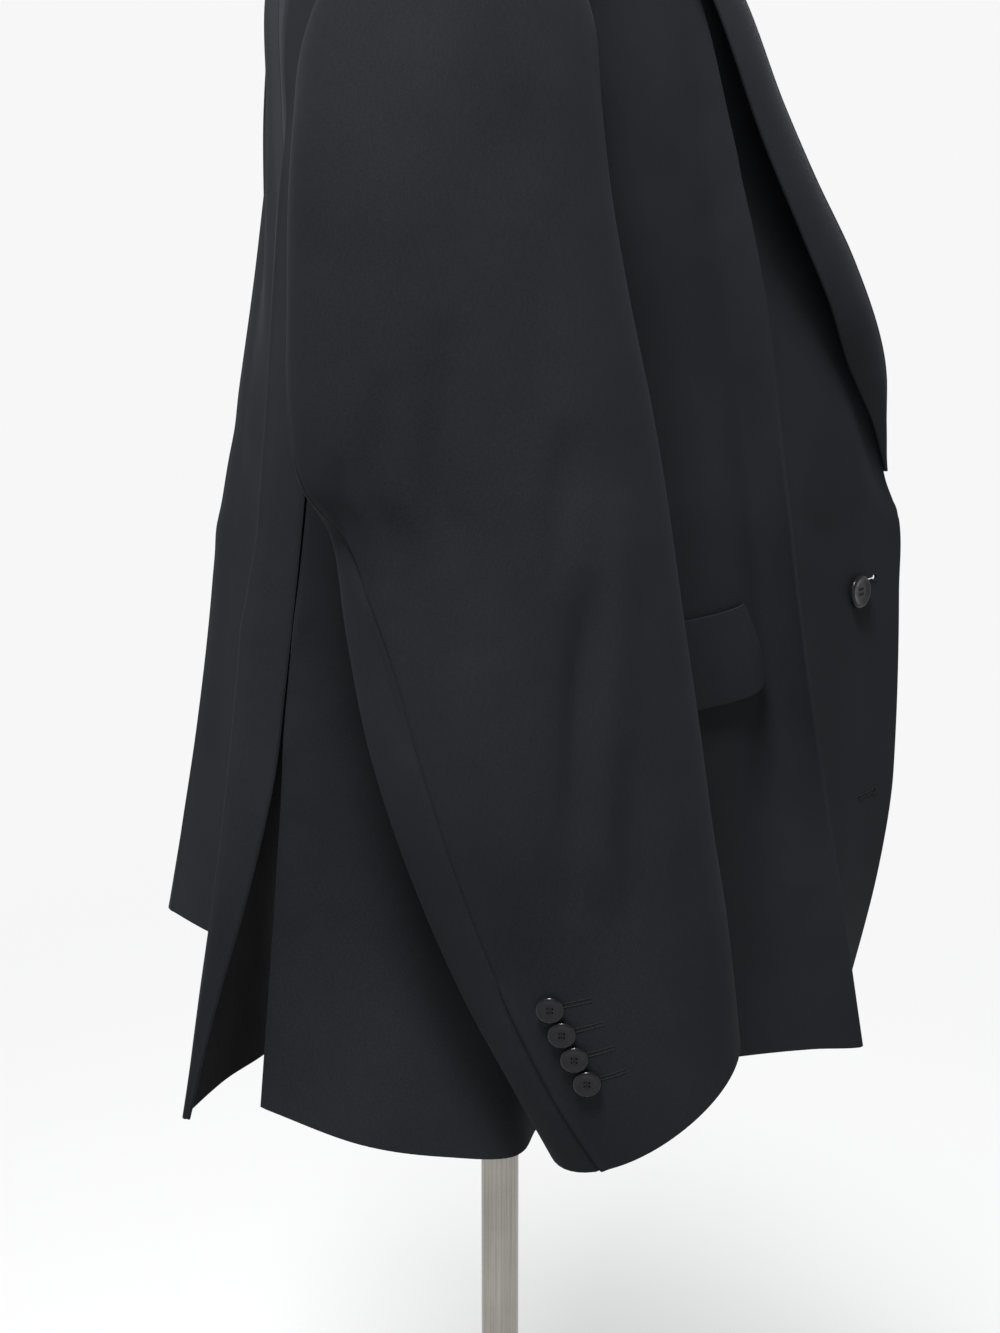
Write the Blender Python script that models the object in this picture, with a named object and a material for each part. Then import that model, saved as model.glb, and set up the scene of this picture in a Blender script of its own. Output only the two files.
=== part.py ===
"""Single-breasted two-button jacket, fastened at its upper button, on a limbless dress form.

Metres, +Z up. The floor is Z = 0 and the pole of the form stands on the Z axis. The front of
the jacket faces -Y and the wearer's right side is -X. Tables and small sizes are in
millimetres, and heights named "up" or "level" are above the jacket's hem. A half section runs
from the front edge round one side to the centre back, as pairs (aside, y): aside is the
distance from the centre line towards that half's own side, so the right half has X = -aside.
A turn is the distance in millimetres round a half section, or an angle round a sleeve.
"""

import bpy
import numpy as np
from math import cos, pi, radians, sin, sqrt

MM = 0.001
HEM_HEIGHT = 0.705          # the hem above the floor
CLOTH = 0.0016              # wall of a panel: cloth, canvas and lining together
LAPEL_CLOTH = 0.0020
FLAP_CLOTH = 0.0018
SEAM_GAP = 0.0003           # between two pieces that meet
SEAM_INSET = 0.36           # each panel's edge back from its seam line, in millimetres
RIGHT, LEFT = "right", "left"
OUTWARD = {RIGHT: -1.0, LEFT: 1.0}

# Shoulder line of each half: from the neck point down to the shoulder tip.
NECK_ASIDE, NECK_UP = 80, 735
TIP_ASIDE, TIP_UP = 214, 690
NAPE_DIP = 19               # the centre back of the neck seam below the neck points
CROWN_LEVEL, CROWN_DROP = 700, 11
SHOULDER_LEVEL = 725
TOP_LEVELS = {CROWN_LEVEL: CROWN_DROP, SHOULDER_LEVEL: 0}

# Front and side of a half: ridge is the long fold beside the lapel, trough the hollow behind
# it, fore_seam and aft_seam the side panel's two seams, side the fluted hem under the sleeve.
SIDE_COLUMNS = ("level", "crease", "ridge", "trough", "pocket", "fore_seam", "side_turn",
                "side", "flank", "side_back", "aft_seam")
SIDE_SECTIONS = (
    (-10, (105, -192), (127, -201), (127, -172), (131, -128), (150, -60), (196, 4),
     (230, 24), (224, 62), (206, 108), (164, 161)),
    (120, (106, -168), (130, -178), (123, -152), (133, -120), (153, -56), (184, 0),
     (207, 28), (209, 64), (198, 108), (168, 150)),
    (240, (110, -147), (131, -158), (125, -136), (139, -114), (158, -52), (178, -2),
     (190, 28), (193, 64), (188, 106), (175, 141)),
    (350, (112, -131), (131, -142), (128, -121), (145, -97), (164, -46), (175, -6),
     (180, 28), (182, 62), (181, 98), (177, 128)),
    (450, (110, -115), (128, -127), (130, -106), (151, -80), (170, -39), (183, -5),
     (189, 28), (191, 60), (189, 92), (181, 120)),
    (540, (109, -92), (123, -107), (129, -91), (151, -66), (178, -24), (190, -2),
     (197, 28), (199, 58), (196, 86), (187, 110)),
    (610, (105, -78), (119, -88), (131, -75), (155, -49), (185, -12), (196, 5),
     (203, 28), (205, 52), (202, 76), (194, 96)),
    (665, (107, -56), (120, -60), (135, -50), (160, -32), (199, 0), (204, 11),
     (208, 28), (209, 44), (208, 56), (205, 66)),
    (700, (110, -26), (121, -26), (138, -22), (166, -15), (210, 5), (211, 11),
     (211, 22), (211, 30), (211, 34), (211, 39)),
    (725, (110, 12.9), (121, 13), (138, 13.6), (168, 14.8), (214, 17.6), (214, 17.7),
     (214, 17.8), (214, 17.9), (214, 18), (214, 18.1)),
)

# Back of a half: vent is the back's edge at the side vent, flute the fold that hangs from
# the shoulder blade, hollow the valley beside the centre back.
BACK_COLUMNS = ("level", "vent", "flute", "slope", "hollow", "nape", "spine")
BACK_SECTIONS = (
    (-10, (175, 203), (168, 203), (124, 180), (86, 153), (44, 141), (0, 138)),
    (60, (173, 185), (160, 192), (122, 174), (86, 152), (44, 139), (0, 136)),
    (120, (172, 167), (155, 182), (121, 168), (86, 150), (44, 137), (0, 134)),
    (205, (175, 147.5), (152, 170), (120, 160), (86, 146), (44, 134), (0, 130)),
    (240, (176, 143.2), (152, 166), (120, 157), (86, 144), (44, 132), (0, 128)),
    (350, (178, 130.4), (147, 150), (118, 146), (86, 136), (44, 126), (0, 122)),
    (450, (182, 122.4), (139, 141), (114, 138), (84, 133), (45, 127), (0, 124)),
    (540, (188, 112.4), (134, 133), (110, 132), (84, 130), (46, 128), (0, 126)),
    (610, (195, 98.4), (133, 127), (110, 128), (84, 128), (46, 127), (0, 125)),
    (665, (206, 68.4), (137, 103), (112, 108), (84, 111), (47, 113), (0, 112)),
    (700, (211.8, 42), (152, 55), (119, 57), (82, 62), (48, 84), (0, 93)),
    (725, (214, 19.8), (154, 17.2), (114, 15.7), (80, 14.6), (50, 52), (0, 68)),
)
# The left half of the back hangs flatter: how far its flute and slope lie forward, by level.
FLATTER_BACK = {350: 2, 450: 8, 540: 10, 610: 7}

# Front edge of each half. Up to the break it is the free edge, above it the roll line where
# the lapel turns out. The right half laps over the left and stands forward of it.
EDGE_COLUMNS = ("level", "edge", "turn", "mid")
EDGE_SECTIONS = {
    RIGHT: (
        (-10, (-6, -246), (18, -230), (66, -207)),
        (60, (-8, -251), (18, -229), (65, -198)),
        (120, (-9, -254), (18, -225), (64, -188)),
        (240, (-10, -253.5), (20, -218), (62, -176)),
        (290, (-8, -250.5), (21, -214), (63, -170)),
        (318, (-3, -240), (25, -210), (65, -166)),
        (345, (2, -235), (31, -203), (68, -160)),
        (393, (10, -228), (38, -187), (72, -148)),
        (450, (21, -205), (48, -162), (77, -130)),
        (500, (31, -177), (56, -142), (80, -118)),
        (540, (40, -156), (61, -127), (82, -107)),
        (610, (55, -122.5), (71, -103), (88, -86)),
        (665, (67, -85), (80, -73), (94, -63)),
        (700, (76, -34), (87, -30), (99, -27)),
        (725, (80, 12.8), (90, 12.8), (100, 12.9)),
    ),
    LEFT: (
        (-10, (-42, -198), (-16, -208), (58, -206)),
        (60, (-44, -194), (-18, -206), (60, -196)),
        (120, (-45, -190), (-18, -204), (60, -187)),
        (240, (-45, -184), (-20, -204), (60, -176)),
        (290, (-44, -183), (-20, -202), (62, -170)),
        (318, (-38, -187), (-12, -201), (64, -166)),
        (345, (-30, -193), (0, -198), (67, -160)),
        (393, (-18, -203), (18, -188), (72, -147)),
        (450, (1, -194), (36, -164), (77, -129)),
        (500, (16, -173), (48, -143), (80, -118)),
        (540, (27, -154), (54, -128), (82, -107)),
        (610, (50, -123), (69, -103), (88, -86)),
        (665, (67, -85), (80, -73), (94, -63)),
        (700, (76, -34), (87, -30), (99, -27)),
        (725, (80, 12.8), (90, 12.8), (100, 12.9)),
    ),
}

# Lapel: its outer edge (aside, y) at each level, and the levels of its two ends.
LAPEL_COLUMNS = ("level", "outer")
LAPEL_SECTIONS = {
    RIGHT: ((318, (3, -237)), (345, (13, -229)), (393, (36, -203)), (428, (55, -187)),
            (472, (76, -163)), (525, (100, -134)), (602, (128, -98)), (640, (138, -78)),
            (665, (142, -62))),
    LEFT: ((318, (-34, -194.5)), (345, (-18, -203)), (393, (12, -207)), (428, (36, -190)),
           (472, (68, -164)), (525, (96, -134)), (602, (126, -98)), (640, (137, -78)),
           (665, (141, -62))),
}
LAPEL_BREAK = 318           # level where the lapel starts to turn out
LAPEL_START = 327           # level of its lowest corner
LAPEL_TIP = 632
GORGE_AT_ROLL = 673
LAPEL_BELLY, BELLY_RISE = 5, 60         # how far its middle stands out, and over what height
LAPEL_ROLL = 1.3            # its roll's clearance, in half thicknesses of the two cloths
LAPEL_STEPS = (5, 18)

# Collar, from the centre back to the notch of one half: the neck seam, the fold and the
# outer edge of its leaf, each as (aside, y, up).
COLLAR_COLUMNS = ("seam", "fold", "leaf")
COLLAR_SECTIONS = (
    ((0, 67, 719), (0, 63, 752), (0, 104, 708)),
    ((30, 62, 722), (28, 57, 754), (40, 99, 711)),
    ((56, 46, 730), (52, 40, 759), (80, 74, 718)),
    ((76, 20, 738), (69, 16, 763), (112, 30, 731)),
    ((78, -10, 737), (71, -14, 756), (120, -10, 727)),
    ((76, -36, 726), (71, -42, 738), (120, -44, 710)),
    ((71, -56, 705), (69, -67, 708), (122, -68, 690)),
    ((66, -67, 686), (67.5, -79, 683), (105, -85, 658)),
)
COLLAR_CLOTH = 0.0018
COLLAR_ROLL = 3.2           # half the width of its rounded fold
ROLL_DROP = 0.1             # share of the collar's height by which the fold's sides lie lower
LEAF_STEPS = (0.35, 0.68)   # shares of the leaf's width
COLLAR_STEPS = 2

HEM = -5                    # level of the front and back hems
SIDE_HEM = (("fore_seam", -5), ("side_turn", -10), ("side", -13), ("flank", -14),
            ("side_back", -12), ("aft_seam", -5))
CUTAWAY_WIDTH, CUTAWAY_HEIGHT = 128, 138
CUTAWAY_POWER = 2.3         # 2 is a quarter of an ellipse, more is squarer
ARMHOLE_SHAPE = (("fore_seam", 548), ("side_turn", 492), ("side", 471), ("flank", 472),
                 ("side_back", 494), ("aft_seam", 548))
ROWS_BELOW, ROWS_BESIDE = 12, 11        # of a front or back, under and beside its armhole
FRONT_STEPS, SIDE_STEPS, BACK_STEPS = 3, 2, 2       # between two columns

# Pocket flap: how far it runs behind its front edge, its drop and the tilt of its mouth.
FLAP_LEVEL, FLAP_WIDTH, FLAP_DROP = 272, 150, 50
FLAP_FRONT = 11             # its front edge before the pocket column
FLAP_LIFT = 3.0             # from the panel's middle to the flap's
FLAP_SLOPE = 0.12
FLAP_CORNER = 12
FLAP_STEPS = (12, 4)
FLAP_LEAN = 18               # its front edge runs forward as it drops

# Sleeve rings from the cuff up: the front and back edges as (y, up), out is how far aside
# they lie, crest and pit the outermost and innermost points as (aside, up).
SLEEVE_COLUMNS = ("fore", "aft", "out", "crest", "pit")
SLEEVE_RINGS = (
    ((-95, 58), (8, -1), 251, (287, 13), (221, 50)),
    ((-91, 92), (32, 46), 252, (290, 52), (221, 84)),
    ((-85, 136), (58, 98), 252, (292, 108), (219, 124)),
    ((-77, 182), (84, 164), 252, (293, 170), (217, 174)),
    ((-69, 236), (103, 228), 252, (294, 232), (215, 232)),
    ((-60, 292), (114, 290), 252, (294, 291), (213, 291)),
    ((-52, 344), (121, 342), 252, (294, 344), (211, 340)),
    ((-47, 374), (137, 372), 252, (294, 376), (210, 366)),
    ((-40, 410), (142, 412), 252, (294, 417), (209, 394)),
    ((-30, 455), (141, 462), 251, (293, 471), (208, 420)),
    ((-21, 505), (139, 512), 246, (289, 531), (206, 439)),
    ((-17, 546), (135, 550), 236, (279, 592), (202, 450)),
    ((-18, 568), (131, 568), 218, (256, 648), (199, 461)),
)
SLEEVE_LEAN = {RIGHT: 0, LEFT: -26}     # the left sleeve hangs further forward
LEAN_TOP_RING, LEAN_POWER = 13, 0.35
ARMHOLE_CENTRE = (37, 566)  # (y, up), seen from the side
HEAD_STEPS = ((8.5, 4.0), (2.4, 0.0))   # outside the armhole's edge: aside, and all round
HEAD_FULLNESS = (11.0, 158, 54)         # more of the first step behind: most, at turn, reach
FORE_SEAM_TURN = -35
# Turn of the back seam at each ring.
AFT_SEAM_TURN = ((0, 124), (1, 130), (2, 134), (3, 136), (4, 138), (5, 144), (6, 160),
                 (7, 172), (8, 178), (12, 184), (14, 188))
SLEEVE_SEAM_GAP = 0.75
CUFF_VENT_RINGS, CUFF_VENT_GAP = 2.2, 1.0
SLEEVE_STEPS = (15, 8, 24)  # round the upper sleeve, round the under sleeve, and along both

# Buttons: diameter, thickness, rim width and depth of the dish.
FRONT_BUTTON = (20.5, 3.6, 2.6, 1.0)
SLEEVE_BUTTON = (15.0, 3.0, 2.0, 0.8)
BUTTON_LEVELS = {"upper": 249, "lower": 150}
SLEEVE_BUTTON_COUNT, SLEEVE_BUTTON_STEP = 4, 15.8
SLEEVE_BUTTON_FIRST = 59    # centre of the lowest one above the cuff's edge
SLEEVE_BUTTON_INSET = 20    # from the back seam
BUTTON_SIDES = 14
BUTTON_LIFT = 0.0008        # the back of a button off the cloth

# Dress form: half width, front and back of each section above the hem.
FORM_COLUMNS = ("up", "half", "front", "back")
FORM_SECTIONS = (
    (118, 132, -84, 84), (124, 142, -94, 94), (140, 148, -100, 100), (200, 152, -104, 106),
    (270, 142, -98, 96), (350, 134, -92, 88), (430, 145, -98, 98), (510, 160, -90, 108),
    (580, 166, -74, 108), (630, 166, -58, 98), (664, 160, -42, 80), (688, 142, -26, 62),
    (704, 112, -16, 48), (716, 80, -14, 42), (730, 58, -28, 44), (756, 52, -34, 42),
    (800, 51, -36, 40),
)
FORM_SIDES = 24
FORM_SQUARENESS = 2.3
CAP_RADIUS, CAP_HEIGHT = 48, 10
POLE_RADIUS = 0.012
BASE_RADIUS, BASE_THICK, BASE_EDGE = 0.17, 0.012, 0.003
HUB_RADIUS, HUB_HEIGHT, HUB_TOP = 0.026, 0.045, 0.004
BASE_SIDES, POLE_SIDES, HUB_SIDES = 40, 20, 24
SHARP_ANGLE = 40

COLOURS = {
    "wool": ((0.0232, 0.0242, 0.0284, 1), 0.85, 0.0),
    "button": ((0.008, 0.008, 0.010, 1), 0.28, 0.0),
    "linen": ((0.52, 0.49, 0.43, 1), 0.9, 0.0),
    "steel": ((0.52, 0.50, 0.47, 1), 0.3, 1.0),
    "paint": ((0.62, 0.62, 0.62, 1), 0.4, 0.0),
    "wood": ((0.22, 0.12, 0.06, 1), 0.45, 0.0),
}


# ---------------------------------------------------------------- curves and surfaces

class Curve:
    """Cubic curve through values at uneven knots, straight beyond its ends."""

    def __init__(self, knots, values):
        self.knots = np.asarray(knots, float)
        self.values = np.asarray(values, float)
        steps = np.diff(self.knots)
        chords = np.diff(self.values, axis=0) / steps[:, None]
        before, after = steps[:-1, None], steps[1:, None]
        inner = (chords[:-1] * after + chords[1:] * before) / (before + after)
        self.slopes = np.concatenate((chords[:1], inner, chords[-1:]))

    def __call__(self, at):
        knots, values, slopes = self.knots, self.values, self.slopes
        if at <= knots[0]:
            return values[0] + slopes[0] * (at - knots[0])
        if at >= knots[-1]:
            return values[-1] + slopes[-1] * (at - knots[-1])
        i = int(np.searchsorted(knots, at, side="right")) - 1
        step = knots[i + 1] - knots[i]
        t = (at - knots[i]) / step
        start = (1 + 2 * t) * (1 - t) ** 2 * values[i] + t * (1 - t) ** 2 * step * slopes[i]
        end = t * t * (3 - 2 * t) * values[i + 1] + t * t * (t - 1) * step * slopes[i + 1]
        return start + end


def shoulder_up(aside):
    """Height of the shoulder line, or of the neck seam nearer the centre back."""
    if aside >= NECK_ASIDE:
        along = (aside - NECK_ASIDE) / (TIP_ASIDE - NECK_ASIDE)
        return NECK_UP + along * (TIP_UP - NECK_UP)
    return NECK_UP - NAPE_DIP * (1 - (aside / NECK_ASIDE) ** 2)


class Strip:
    """Surface through named columns, each a curve in height; its points are (aside, y, up)."""

    def __init__(self, *tables):
        self.names = []
        self.curves = []
        for columns, rows in tables:
            levels = [row[0] for row in rows]
            for k, name in enumerate(columns[1:], 1):
                points = [self.placed(row[0], row[k]) for row in rows]
                self.names.append(name)
                self.curves.append(Curve(levels, points))
        self.turns = self.spacing()

    @staticmethod
    def placed(level, pair):
        aside, y = pair
        if level in TOP_LEVELS:
            return (aside, y, shoulder_up(aside) - TOP_LEVELS[level])
        return (aside, y, level)

    def spacing(self):
        sample_levels = (0, 150, 300, 450, 600)
        rings = [self.ring(level) for level in sample_levels]
        lengths = [np.linalg.norm(np.diff(ring, axis=0), axis=1) for ring in rings]
        return np.concatenate(([0.0], np.cumsum(np.mean(lengths, axis=0))))

    def ring(self, level):
        return np.array([curve(level) for curve in self.curves])

    def turn(self, name):
        return self.turns[self.names.index(name)]

    def point(self, turn, level):
        return Curve(self.turns, self.ring(level))(turn)

    def normal(self, turn, level, side):
        step = 1.0
        across = world(side, self.point(turn + step, level))
        across = across - world(side, self.point(turn - step, level))
        up = world(side, self.point(turn, level + step))
        up = up - world(side, self.point(turn, level - step))
        return unit(np.cross(up, across)) * -OUTWARD[side]

    def columns_between(self, first, last, per):
        """Turns at each column from first to last, with per steps between neighbours."""
        i, j = self.names.index(first), self.names.index(last)
        turns = [self.turns[i]]
        for k in range(i, j):
            for step in range(1, per + 1):
                turns.append(self.turns[k] + (self.turns[k + 1] - self.turns[k]) * step / per)
        turns[0] += SEAM_INSET
        turns[-1] -= SEAM_INSET
        return turns

    def level_line(self, shape):
        """Level as a curve through named columns."""
        turns = [self.turn(name) for name, _ in shape]
        curve = Curve(turns, [[level] for _, level in shape])
        return lambda turn: float(curve(turn)[0])


def unit(vector):
    return vector / np.linalg.norm(vector)


def world(side, point):
    """World place of (aside, y, up) in millimetres on one side."""
    aside, y, up = point
    return np.array((OUTWARD[side] * aside * MM, y * MM, HEM_HEIGHT + up * MM))


def panel_grid(strip, side, turns, bottom, top, rows):
    """Grid of world points over a panel whose bottom and top levels vary with the turn."""
    grid = []
    for turn in turns:
        levels = np.linspace(bottom(turn), top(turn), rows + 1)
        grid.append([world(side, strip.point(turn, level)) for level in levels])
    return np.array(grid)


def whole_panel_grid(strip, side, turns, bottom):
    """Grid from the hem to the shoulder seam, with closer rows beside the armhole."""
    corner = ARMHOLE_SHAPE[0][1]
    lower = panel_grid(strip, side, turns, bottom, lambda turn: corner, ROWS_BELOW)
    upper = panel_grid(strip, side, turns, lambda turn: corner, lambda turn: SHOULDER_LEVEL,
                       ROWS_BESIDE)
    return np.concatenate((lower, upper[:, 1:]), axis=1)


def grid_normals(grid):
    along = np.gradient(grid, axis=0, edge_order=2)
    up = np.gradient(grid, axis=1, edge_order=2)
    normals = np.cross(along, up)
    return normals / np.linalg.norm(normals, axis=2)[:, :, None]


# ---------------------------------------------------------------- solids

def material(name):
    found = bpy.data.materials.get(name)
    if found:
        return found
    colour, roughness, metallic = COLOURS[name]
    made = bpy.data.materials.new(name)
    made.use_nodes = True
    made.diffuse_color = colour
    shader = made.node_tree.nodes["Principled BSDF"]
    shader.inputs["Base Color"].default_value = colour
    shader.inputs["Roughness"].default_value = roughness
    shader.inputs["Metallic"].default_value = metallic
    return made


def add_solid(name, points, faces, material_name):
    """Object from points and faces, turned to face out."""
    points = np.asarray(points)
    volume = 0.0
    for face in faces:
        for k in range(1, len(face) - 1):
            a, b, c = points[face[0]], points[face[k]], points[face[k + 1]]
            volume += np.dot(a, np.cross(b, c))
    if volume < 0:
        faces = [tuple(reversed(face)) for face in faces]
    mesh = bpy.data.meshes.new(name)
    mesh.from_pydata([tuple(map(float, p)) for p in points], [], faces)
    mesh.validate()
    mesh.shade_smooth()
    mesh.set_sharp_from_angle(angle=radians(SHARP_ANGLE))
    mesh.materials.append(material(material_name))
    made = bpy.data.objects.new(name, mesh)
    bpy.context.scene.collection.objects.link(made)
    return made


def add_wall(name, grid, thickness, material_name="wool"):
    """Closed wall of even thickness about a grid of points."""
    wide, tall = grid.shape[:2]
    offset = grid_normals(grid) * thickness / 2
    points = np.concatenate(((grid + offset).reshape(-1, 3), (grid - offset).reshape(-1, 3)))
    count = wide * tall

    def index(i, j, layer):
        return layer * count + i * tall + j

    faces = []
    for i in range(wide - 1):
        for j in range(tall - 1):
            ring = ((i, j), (i + 1, j), (i + 1, j + 1), (i, j + 1))
            faces.append(tuple(index(a, b, 0) for a, b in ring))
            faces.append(tuple(index(a, b, 1) for a, b in reversed(ring)))
    border = [(i, 0) for i in range(wide)] + [(wide - 1, j) for j in range(1, tall)]
    border += [(i, tall - 1) for i in range(wide - 2, -1, -1)]
    border += [(0, j) for j in range(tall - 2, 0, -1)]
    for here, there in zip(border, border[1:] + border[:1]):
        faces.append((index(*there, 0), index(*here, 0), index(*here, 1), index(*there, 1)))
    return add_solid(name, points, faces, material_name)


def add_stack(name, rings, material_name):
    """Closed body through rings of equal count, capped at both ends."""
    sides = len(rings[0])
    points = [p for ring in rings for p in ring]
    faces = [tuple(range(sides)), tuple(range(len(points) - 1, len(points) - sides - 1, -1))]
    for k in range(len(rings) - 1):
        for i in range(sides):
            j = (i + 1) % sides
            low, high = k * sides, (k + 1) * sides
            faces.append((low + j, low + i, high + i, high + j))
    return add_solid(name, points, faces, material_name)


def turned_rings(profile, sides, centre, axis):
    """Rings of a profile of (radius, height) turned about an axis."""
    axis = unit(np.asarray(axis, float))
    helper = np.array((0.0, 0.0, 1.0)) if abs(axis[2]) < 0.9 else np.array((0.0, 1.0, 0.0))
    u = unit(np.cross(helper, axis))
    v = np.cross(axis, u)
    rings = []
    for radius, height in profile:
        ring = []
        for i in range(sides):
            angle = 2 * pi * i / sides
            ring.append(centre + axis * height + (u * cos(angle) + v * sin(angle)) * radius)
        rings.append(ring)
    return rings


def add_button(name, size, seat, axis):
    """Turned button with a raised rim round a dish, its back on the seat."""
    diameter, thick, rim, dish = (value * MM for value in size)
    radius = diameter / 2
    edge = thick * 0.3
    profile = ((radius - 2 * edge, 0.0), (radius, edge), (radius, thick - edge),
               (radius - rim * 0.5, thick), (radius - rim, thick - dish * 0.4),
               (radius - rim * 1.8, thick - dish))
    return add_stack(name, turned_rings(profile, BUTTON_SIDES, seat, axis), "button")


# ---------------------------------------------------------------- the jacket's body

def front_strip(side):
    return Strip((EDGE_COLUMNS, EDGE_SECTIONS[side]), (SIDE_COLUMNS, SIDE_SECTIONS))


def back_strip(side):
    rows = []
    for level, vent, flute, slope, *rest in BACK_SECTIONS:
        flatter = FLATTER_BACK.get(level, 0) if side == LEFT else 0
        flute, slope = (flute[0], flute[1] - flatter), (slope[0], slope[1] - flatter)
        rows.append((level, vent, flute, slope, *rest))
    return Strip((BACK_COLUMNS, rows))


def front_hem(strip):
    start = strip.turn("edge")

    def level(turn):
        across = 1 - (turn - start) / CUTAWAY_WIDTH
        if across <= 0:
            return HEM
        curve = (1 - min(1.0, across) ** CUTAWAY_POWER) ** (1 / CUTAWAY_POWER)
        return HEM + CUTAWAY_HEIGHT * (1 - curve)

    return level


def add_front(strip, side):
    turns = strip.columns_between("edge", "fore_seam", FRONT_STEPS)
    grid = whole_panel_grid(strip, side, turns, front_hem(strip))
    return add_wall("front_" + side, grid, CLOTH)


def add_side_panel(strip, side):
    turns = strip.columns_between("fore_seam", "aft_seam", SIDE_STEPS)
    bottom, top = strip.level_line(SIDE_HEM), strip.level_line(ARMHOLE_SHAPE)
    grid = panel_grid(strip, side, turns, bottom, top, ROWS_BELOW)
    return add_wall("side_panel_" + side, grid, CLOTH)


def add_back(strip, side):
    turns = strip.columns_between("vent", "spine", BACK_STEPS)
    grid = whole_panel_grid(strip, side, turns, lambda turn: HEM)
    return add_wall("back_" + side, grid, CLOTH)


def lapel_point(strip, outer, side, across, level):
    """Point of the lapel between the roll line and its outer edge."""
    roll = world(side, strip.point(strip.turn("edge"), level))
    edge = world(side, outer.ring(level)[0])
    panel_normal = strip.normal(strip.turn("edge"), level, side)
    clear = (CLOTH + LAPEL_CLOTH) / 2 + SEAM_GAP
    forward = np.array((0.0, -1.0, 0.0))
    start = roll + unit(panel_normal + forward) * clear * LAPEL_ROLL
    belly = LAPEL_BELLY * MM * sin(pi * across) * min(1.0, (level - LAPEL_BREAK) / BELLY_RISE)
    face = unit(np.array((OUTWARD[side] * 0.4, -1.0, 0.0)))
    return start + (edge - start) * across + face * belly


def add_lapel(strip, side):
    outer = Strip((LAPEL_COLUMNS, LAPEL_SECTIONS[side]))
    wide, tall = LAPEL_STEPS
    grid = []
    for i in range(wide + 1):
        across = i / wide
        top = GORGE_AT_ROLL + (LAPEL_TIP - GORGE_AT_ROLL) * across
        levels = np.linspace(LAPEL_START, top, tall + 1)
        grid.append([lapel_point(strip, outer, side, across, level) for level in levels])
    return add_wall("lapel_" + side, np.array(grid), LAPEL_CLOTH)


def collar_section(row):
    """Points across the collar: up the stand, over the rounded fold and down the leaf."""
    points = dict(zip(COLLAR_COLUMNS, np.array(row, float)))
    seam, fold, leaf = points["seam"], points["fold"], points["leaf"]
    away = unit(leaf - seam)
    inner, outer = fold - away * COLLAR_ROLL, fold + away * COLLAR_ROLL
    drop = ((seam + leaf) / 2 - fold) * ROLL_DROP
    inner, outer = inner + drop, outer + drop
    leaf_points = [outer + (leaf - outer) * share for share in LEAF_STEPS]
    return np.array((seam, (seam + inner) / 2, inner, fold, outer, *leaf_points, leaf))


def add_collar():
    half = [collar_section(row) for row in COLLAR_SECTIONS]
    count = len(half)
    stations = [i / COLLAR_STEPS for i in range((count - 1) * COLLAR_STEPS + 1)]
    mirrored = np.array([section * (-1, 1, 1) for section in half[:0:-1]])
    whole = np.concatenate((mirrored, np.array(half)))
    knots = range(1 - count, count)
    through = Curve(knots, whole.reshape(len(whole), -1))
    grid = []
    for station in [-s for s in stations[:0:-1]] + stations:
        section = through(station).reshape(-1, 3)
        grid.append([world(LEFT, point) for point in section])
    add_wall("collar", np.array(grid), COLLAR_CLOTH)


def add_flap(strip, side):
    """Pocket flap made from the panel's own points, moved out."""
    wide, tall = FLAP_STEPS
    first = strip.turn("pocket") - FLAP_FRONT
    grid = []
    for i in range(wide + 1):
        along = FLAP_WIDTH * i / wide
        mouth = FLAP_LEVEL - FLAP_SLOPE * along
        edge = min(along, FLAP_WIDTH - along)
        short = max(0.0, 1 - edge / FLAP_CORNER)
        drop = FLAP_DROP - FLAP_CORNER * (1 - sqrt(1 - short ** 2))
        line = []
        for j in range(tall + 1):
            level = mouth - drop * j / tall
            turn = first + along - FLAP_LEAN * (1 - i / wide) * j / tall
            place = world(side, strip.point(turn, level))
            line.append(place + strip.normal(turn, level, side) * FLAP_LIFT * MM)
        grid.append(line)
    return add_wall("pocket_flap_" + side, np.array(grid), FLAP_CLOTH)


def add_front_buttons(strips):
    """The upper button lies on the right front, the lower on the left front, under it."""
    for name, side in (("upper", RIGHT), ("lower", LEFT)):
        strip = strips[side][0]
        turn, level = strip.turn("turn"), BUTTON_LEVELS[name]
        axis = strip.normal(turn, level, side)
        seat = world(side, strip.point(turn, level)) + axis * (CLOTH / 2 + BUTTON_LIFT)
        add_button("front_button_" + name, FRONT_BUTTON, seat, axis)


# ---------------------------------------------------------------- sleeves

def armhole_place(strips, side, turn, step):
    """Point just outside the armhole's edge at an angle, from the front over the shoulder."""
    front, back = strips[side]
    edge_levels = np.linspace(ARMHOLE_SHAPE[0][1], SHOULDER_LEVEL, 14)
    loop = [front.point(front.turn("fore_seam"), level) for level in edge_levels]
    back_levels = np.linspace(SHOULDER_LEVEL, ARMHOLE_SHAPE[-1][1], 14)
    loop += [back.point(back.turn("vent"), level) for level in back_levels]
    low = front.level_line(ARMHOLE_SHAPE)
    turns = np.linspace(front.turn("aft_seam"), front.turn("fore_seam"), 12)[1:-1]
    loop += [front.point(t, low(t)) for t in turns]
    loop = np.array(loop)
    centre_y, centre_up = ARMHOLE_CENTRE
    angles = np.degrees(np.arctan2(loop[:, 2] - centre_up, centre_y - loop[:, 1]))
    order = np.argsort(angles)
    angles, loop = angles[order], loop[order]
    angles = np.concatenate((angles - 360, angles, angles + 360))
    loop = np.concatenate((loop, loop, loop))
    wrapped = (turn + 180) % 360 - 180
    aside, y, up = (np.interp(wrapped, angles, loop[:, k]) for k in range(3))
    beyond, round_it = step
    out = round_it / sqrt((y - centre_y) ** 2 + (up - centre_up) ** 2)
    return np.array((aside + beyond, y + (y - centre_y) * out, up + (up - centre_up) * out))


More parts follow.
